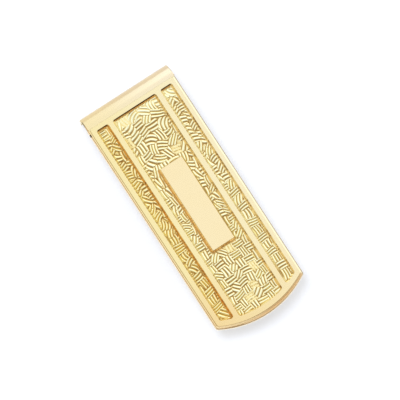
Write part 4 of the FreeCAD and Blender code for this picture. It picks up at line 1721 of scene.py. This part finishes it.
@dataclass
class Studio:
    """Plain pale floor, soft light and the camera.

    Attributes:
        look_at: the point in the middle of the view, in millimetres.
        up: direction across the face that stands upright in the view.
        tilt: how far the camera leans to -X and to -Y, in degrees.
        distance: how far the camera stands, in millimetres.
        lens: focal length for a frame as wide as sensor.
        clip: nearest and farthest distance that the camera shows, in metres.
        floor_half: half the floor's width.
        floor_steps: pieces across the floor.
        floor_z: height of the floor.
        floor_curl: how high its rim would curl at curl_span's end.
        curl_span: parts of its half width between which it curls.
        paper: two colours of the floor, which its grain mixes.
        paper_grain: fineness of that grain, per metre.
        paper_glow: share of plain white that the camera and reflections see in the floor.
        dim_side: level direction in which the surroundings are dimmest.
        dim_spread: cosines from that direction between which the dimness sets in.
        dim_rise: sines of elevation between which the dimness fades.
        dim_tone: colour of the dim surroundings.
        glow_side: level direction in which the surroundings are brightest.
        glow_spread: cosines from that direction between which the brightness sets in.
        glow_tone: colour of the bright surroundings.
        key_place, key_size: place and width of the lamp.
        key_power: its power in watts.
    """

    look_at: Triple = (0.894, -0.048, 5.4)
    up: Triple = (0.5474, 0.8369, 0.0)
    tilt: Pair = (5.8, 2.0)
    distance: float = 900.0
    lens: float = 424.5
    sensor: float = 36.0
    clip: Pair = (0.01, 10.0)
    floor_half: float = 600.0
    floor_steps: int = 40
    floor_z: float = -0.02
    floor_curl: float = 60.0
    curl_span: Pair = (0.8, 1.2)
    paper: tuple[Colour, Colour] = ((0.75, 0.795, 0.895), (0.77, 0.815, 0.915))
    paper_grain: float = 900.0
    paper_glow: float = 0.5
    dim_side: Triple = (-0.50, -0.866, 0.0)
    dim_spread: Pair = (-0.2, 0.85)
    dim_rise: Pair = (0.60, 0.88)
    dim_tone: Colour = (0.36, 0.26, 0.15)
    glow_side: Triple = (0.87, 0.5, 0.0)
    glow_spread: Pair = (0.45, 0.95)
    glow_tone: Colour = (1.35, 1.35, 1.38)
    key_place: Triple = (-66.0, 168.0, 430.0)
    key_size: float = 215.0
    key_power: float = 1.57

    def camera(self) -> None:
        """Makes the camera: it looks down its -Z, which leans from the vertical by the tilt."""
        back = Vector((-math.tan(math.radians(self.tilt[0])),
                       -math.tan(math.radians(self.tilt[1])), 1.0)).normalized()
        right = Vector(self.up).cross(back).normalized()
        upright = back.cross(right)
        turn = Matrix((right, upright, back)).transposed().to_4x4()
        view = bpy.data.cameras.new("View")
        view.lens, view.sensor_width = self.lens, self.sensor
        view.clip_start, view.clip_end = self.clip
        thing = bpy.data.objects.new("View", view)
        place = (Vector(self.look_at) + back * self.distance) * MM
        thing.matrix_world = Matrix.Translation(place) @ turn
        bpy.context.scene.collection.objects.link(thing)
        bpy.context.scene.camera = thing

    def floor(self) -> None:
        """Makes the floor, a wide sheet whose rim curls up a little.

        The curl is a smooth step of the larger of the two distances from the middle.
        """
        span = np.linspace(-1.0, 1.0, self.floor_steps + 1)
        x, y = np.meshgrid(span, span)
        rim = np.maximum(np.abs(x), np.abs(y))
        z = self.floor_z + self.floor_curl * smooth_step(rim, *self.curl_span)
        shell = Shell()
        grid = np.stack([x * self.floor_half, y * self.floor_half, z], axis=-1)
        shell.skin(shell.add(grid), closed=False)
        thing = shell.piece("studio_floor")
        paper = bpy.data.materials.new("StudioPaper")
        w = Wiring.fresh(paper)
        grain = w.node("ShaderNodeTexNoise", {"Scale": self.paper_grain, "Detail": 3.0})
        tone = w.blended(grain.outputs[0], *(rgba(colour) for colour in self.paper))
        matt = w.node("ShaderNodeBsdfDiffuse", {"Color": tone})
        glow = w.node("ShaderNodeEmission", {"Color": WHITE, "Strength": 1.0})
        path = w.node("ShaderNodeLightPath")
        direct = w.math("MAXIMUM", path.outputs["Is Camera Ray"],
                        w.math("MAXIMUM", path.outputs["Is Glossy Ray"],
                               path.outputs["Is Transmission Ray"]))
        seen = w.math("MULTIPLY", direct, self.paper_glow)
        both = w.node("ShaderNodeMixShader", {0: seen, 1: matt.outputs[0], 2: glow.outputs[0]})
        w.node("ShaderNodeOutputMaterial", {"Surface": both.outputs[0]})
        thing.data.materials.append(paper)

    def sky(self) -> None:
        """Makes the surroundings: white overhead, brighter low at +X and dimmer low at -X, -Y."""
        world = bpy.data.worlds.new("Surroundings")
        w = Wiring.fresh(world)
        where = w.node("ShaderNodeTexCoord").outputs["Generated"]
        height = w.node("ShaderNodeSeparateXYZ", {0: where}).outputs["Z"]
        low = w.ranged(height, self.dim_rise, (1.0, 0.0), smooth=True)
        level = w.aimed("MULTIPLY", where, (1.0, 1.0, 0.0)).outputs[0]
        compass = w.aimed("NORMALIZE", level).outputs[0]
        shares = []
        for side, spread in ((self.glow_side, self.glow_spread),
                             (self.dim_side, self.dim_spread)):
            facing = w.aimed("DOT_PRODUCT", compass, side).outputs["Value"]
            shares.append(w.math("MULTIPLY", w.ranged(facing, spread, smooth=True), low))
        tone = w.blended(shares[0], WHITE, rgba(self.glow_tone))
        tone = w.blended(shares[1], tone, rgba(self.dim_tone))
        path = w.node("ShaderNodeLightPath")
        seen = w.blended(path.outputs["Is Camera Ray"], tone, WHITE)
        back = w.node("ShaderNodeBackground", {"Color": seen, "Strength": 1.0})
        w.node("ShaderNodeOutputWorld", {"Surface": back.outputs[0]})
        bpy.context.scene.world = world

    def lamp(self) -> None:
        """Makes the soft square lamp, which points at the clip and shows in no reflection."""
        light = bpy.data.lights.new("Key", "AREA")
        light.shape, light.size, light.energy = "SQUARE", self.key_size * MM, self.key_power
        thing = bpy.data.objects.new("Key", light)
        at = Vector(self.key_place) * MM
        turn = (-at).to_track_quat("-Z", "Y").to_matrix().to_4x4()
        thing.matrix_world = Matrix.Translation(at) @ turn
        thing.visible_glossy = False
        bpy.context.scene.collection.objects.link(thing)

    def build(self) -> None:
        """Sets up view, floor, surroundings and lamp."""
        self.camera()
        self.floor()
        self.sky()
        self.lamp()
        bpy.context.scene.view_settings.view_transform = "Standard"


# ----------------------------------------------------------------------------------------------
# The whole clip
# ----------------------------------------------------------------------------------------------


def build_clip() -> None:
    """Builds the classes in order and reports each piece."""
    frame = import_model()
    Studio().build()
    made = Palette().made(Effects(scratch_group(), handling_group(), grain_group()))
    front = FacePlate()
    front.dress(front.build(), made["polished"]).settle()
    plaque = Plaque()
    plaque.dress(plaque.build(), made["plaque"]).settle()
    left, middle, right = ((a + WALL_LEAN, b - WALL_LEAN) for a, b in front.window_spans)
    reliefs = [
        BasketRelief("weave_middle", *middle, seed=7,
                     blanks=((2.6, 11.2), (-3.6, 20.4), (-3.9, 16.4), (1.1, -10.9), (3.1, -16.6),
                             (0.6, -18.9), (-1.4, -20.4))),
        BasketRelief("weave_left", *left, seed=21, pitch=(1.95, 1.68), shift=(-8.2, 0.4),
                     height=0.22, lively=(-26.0, 4.0), slant=0.55,
                     side_levels=(0.19, 0.20)),
        BasketRelief("weave_right", *right, seed=34, pitch=(1.95, 1.68), shift=(6.25, 0.1),
                     height=0.185, lively=(-16.0, 16.0), slant=0.60,
                     side_levels=(0.25, 0.37)),
    ]
    for relief in reliefs:
        relief.dress(relief.build(), made["woven"]).settle()
    CarriedNodes().dress(frame["nodes"], made)


if __name__ == "__main__":
    logging.basicConfig(level=logging.INFO, format="%(name)s: %(message)s")
    build_clip()
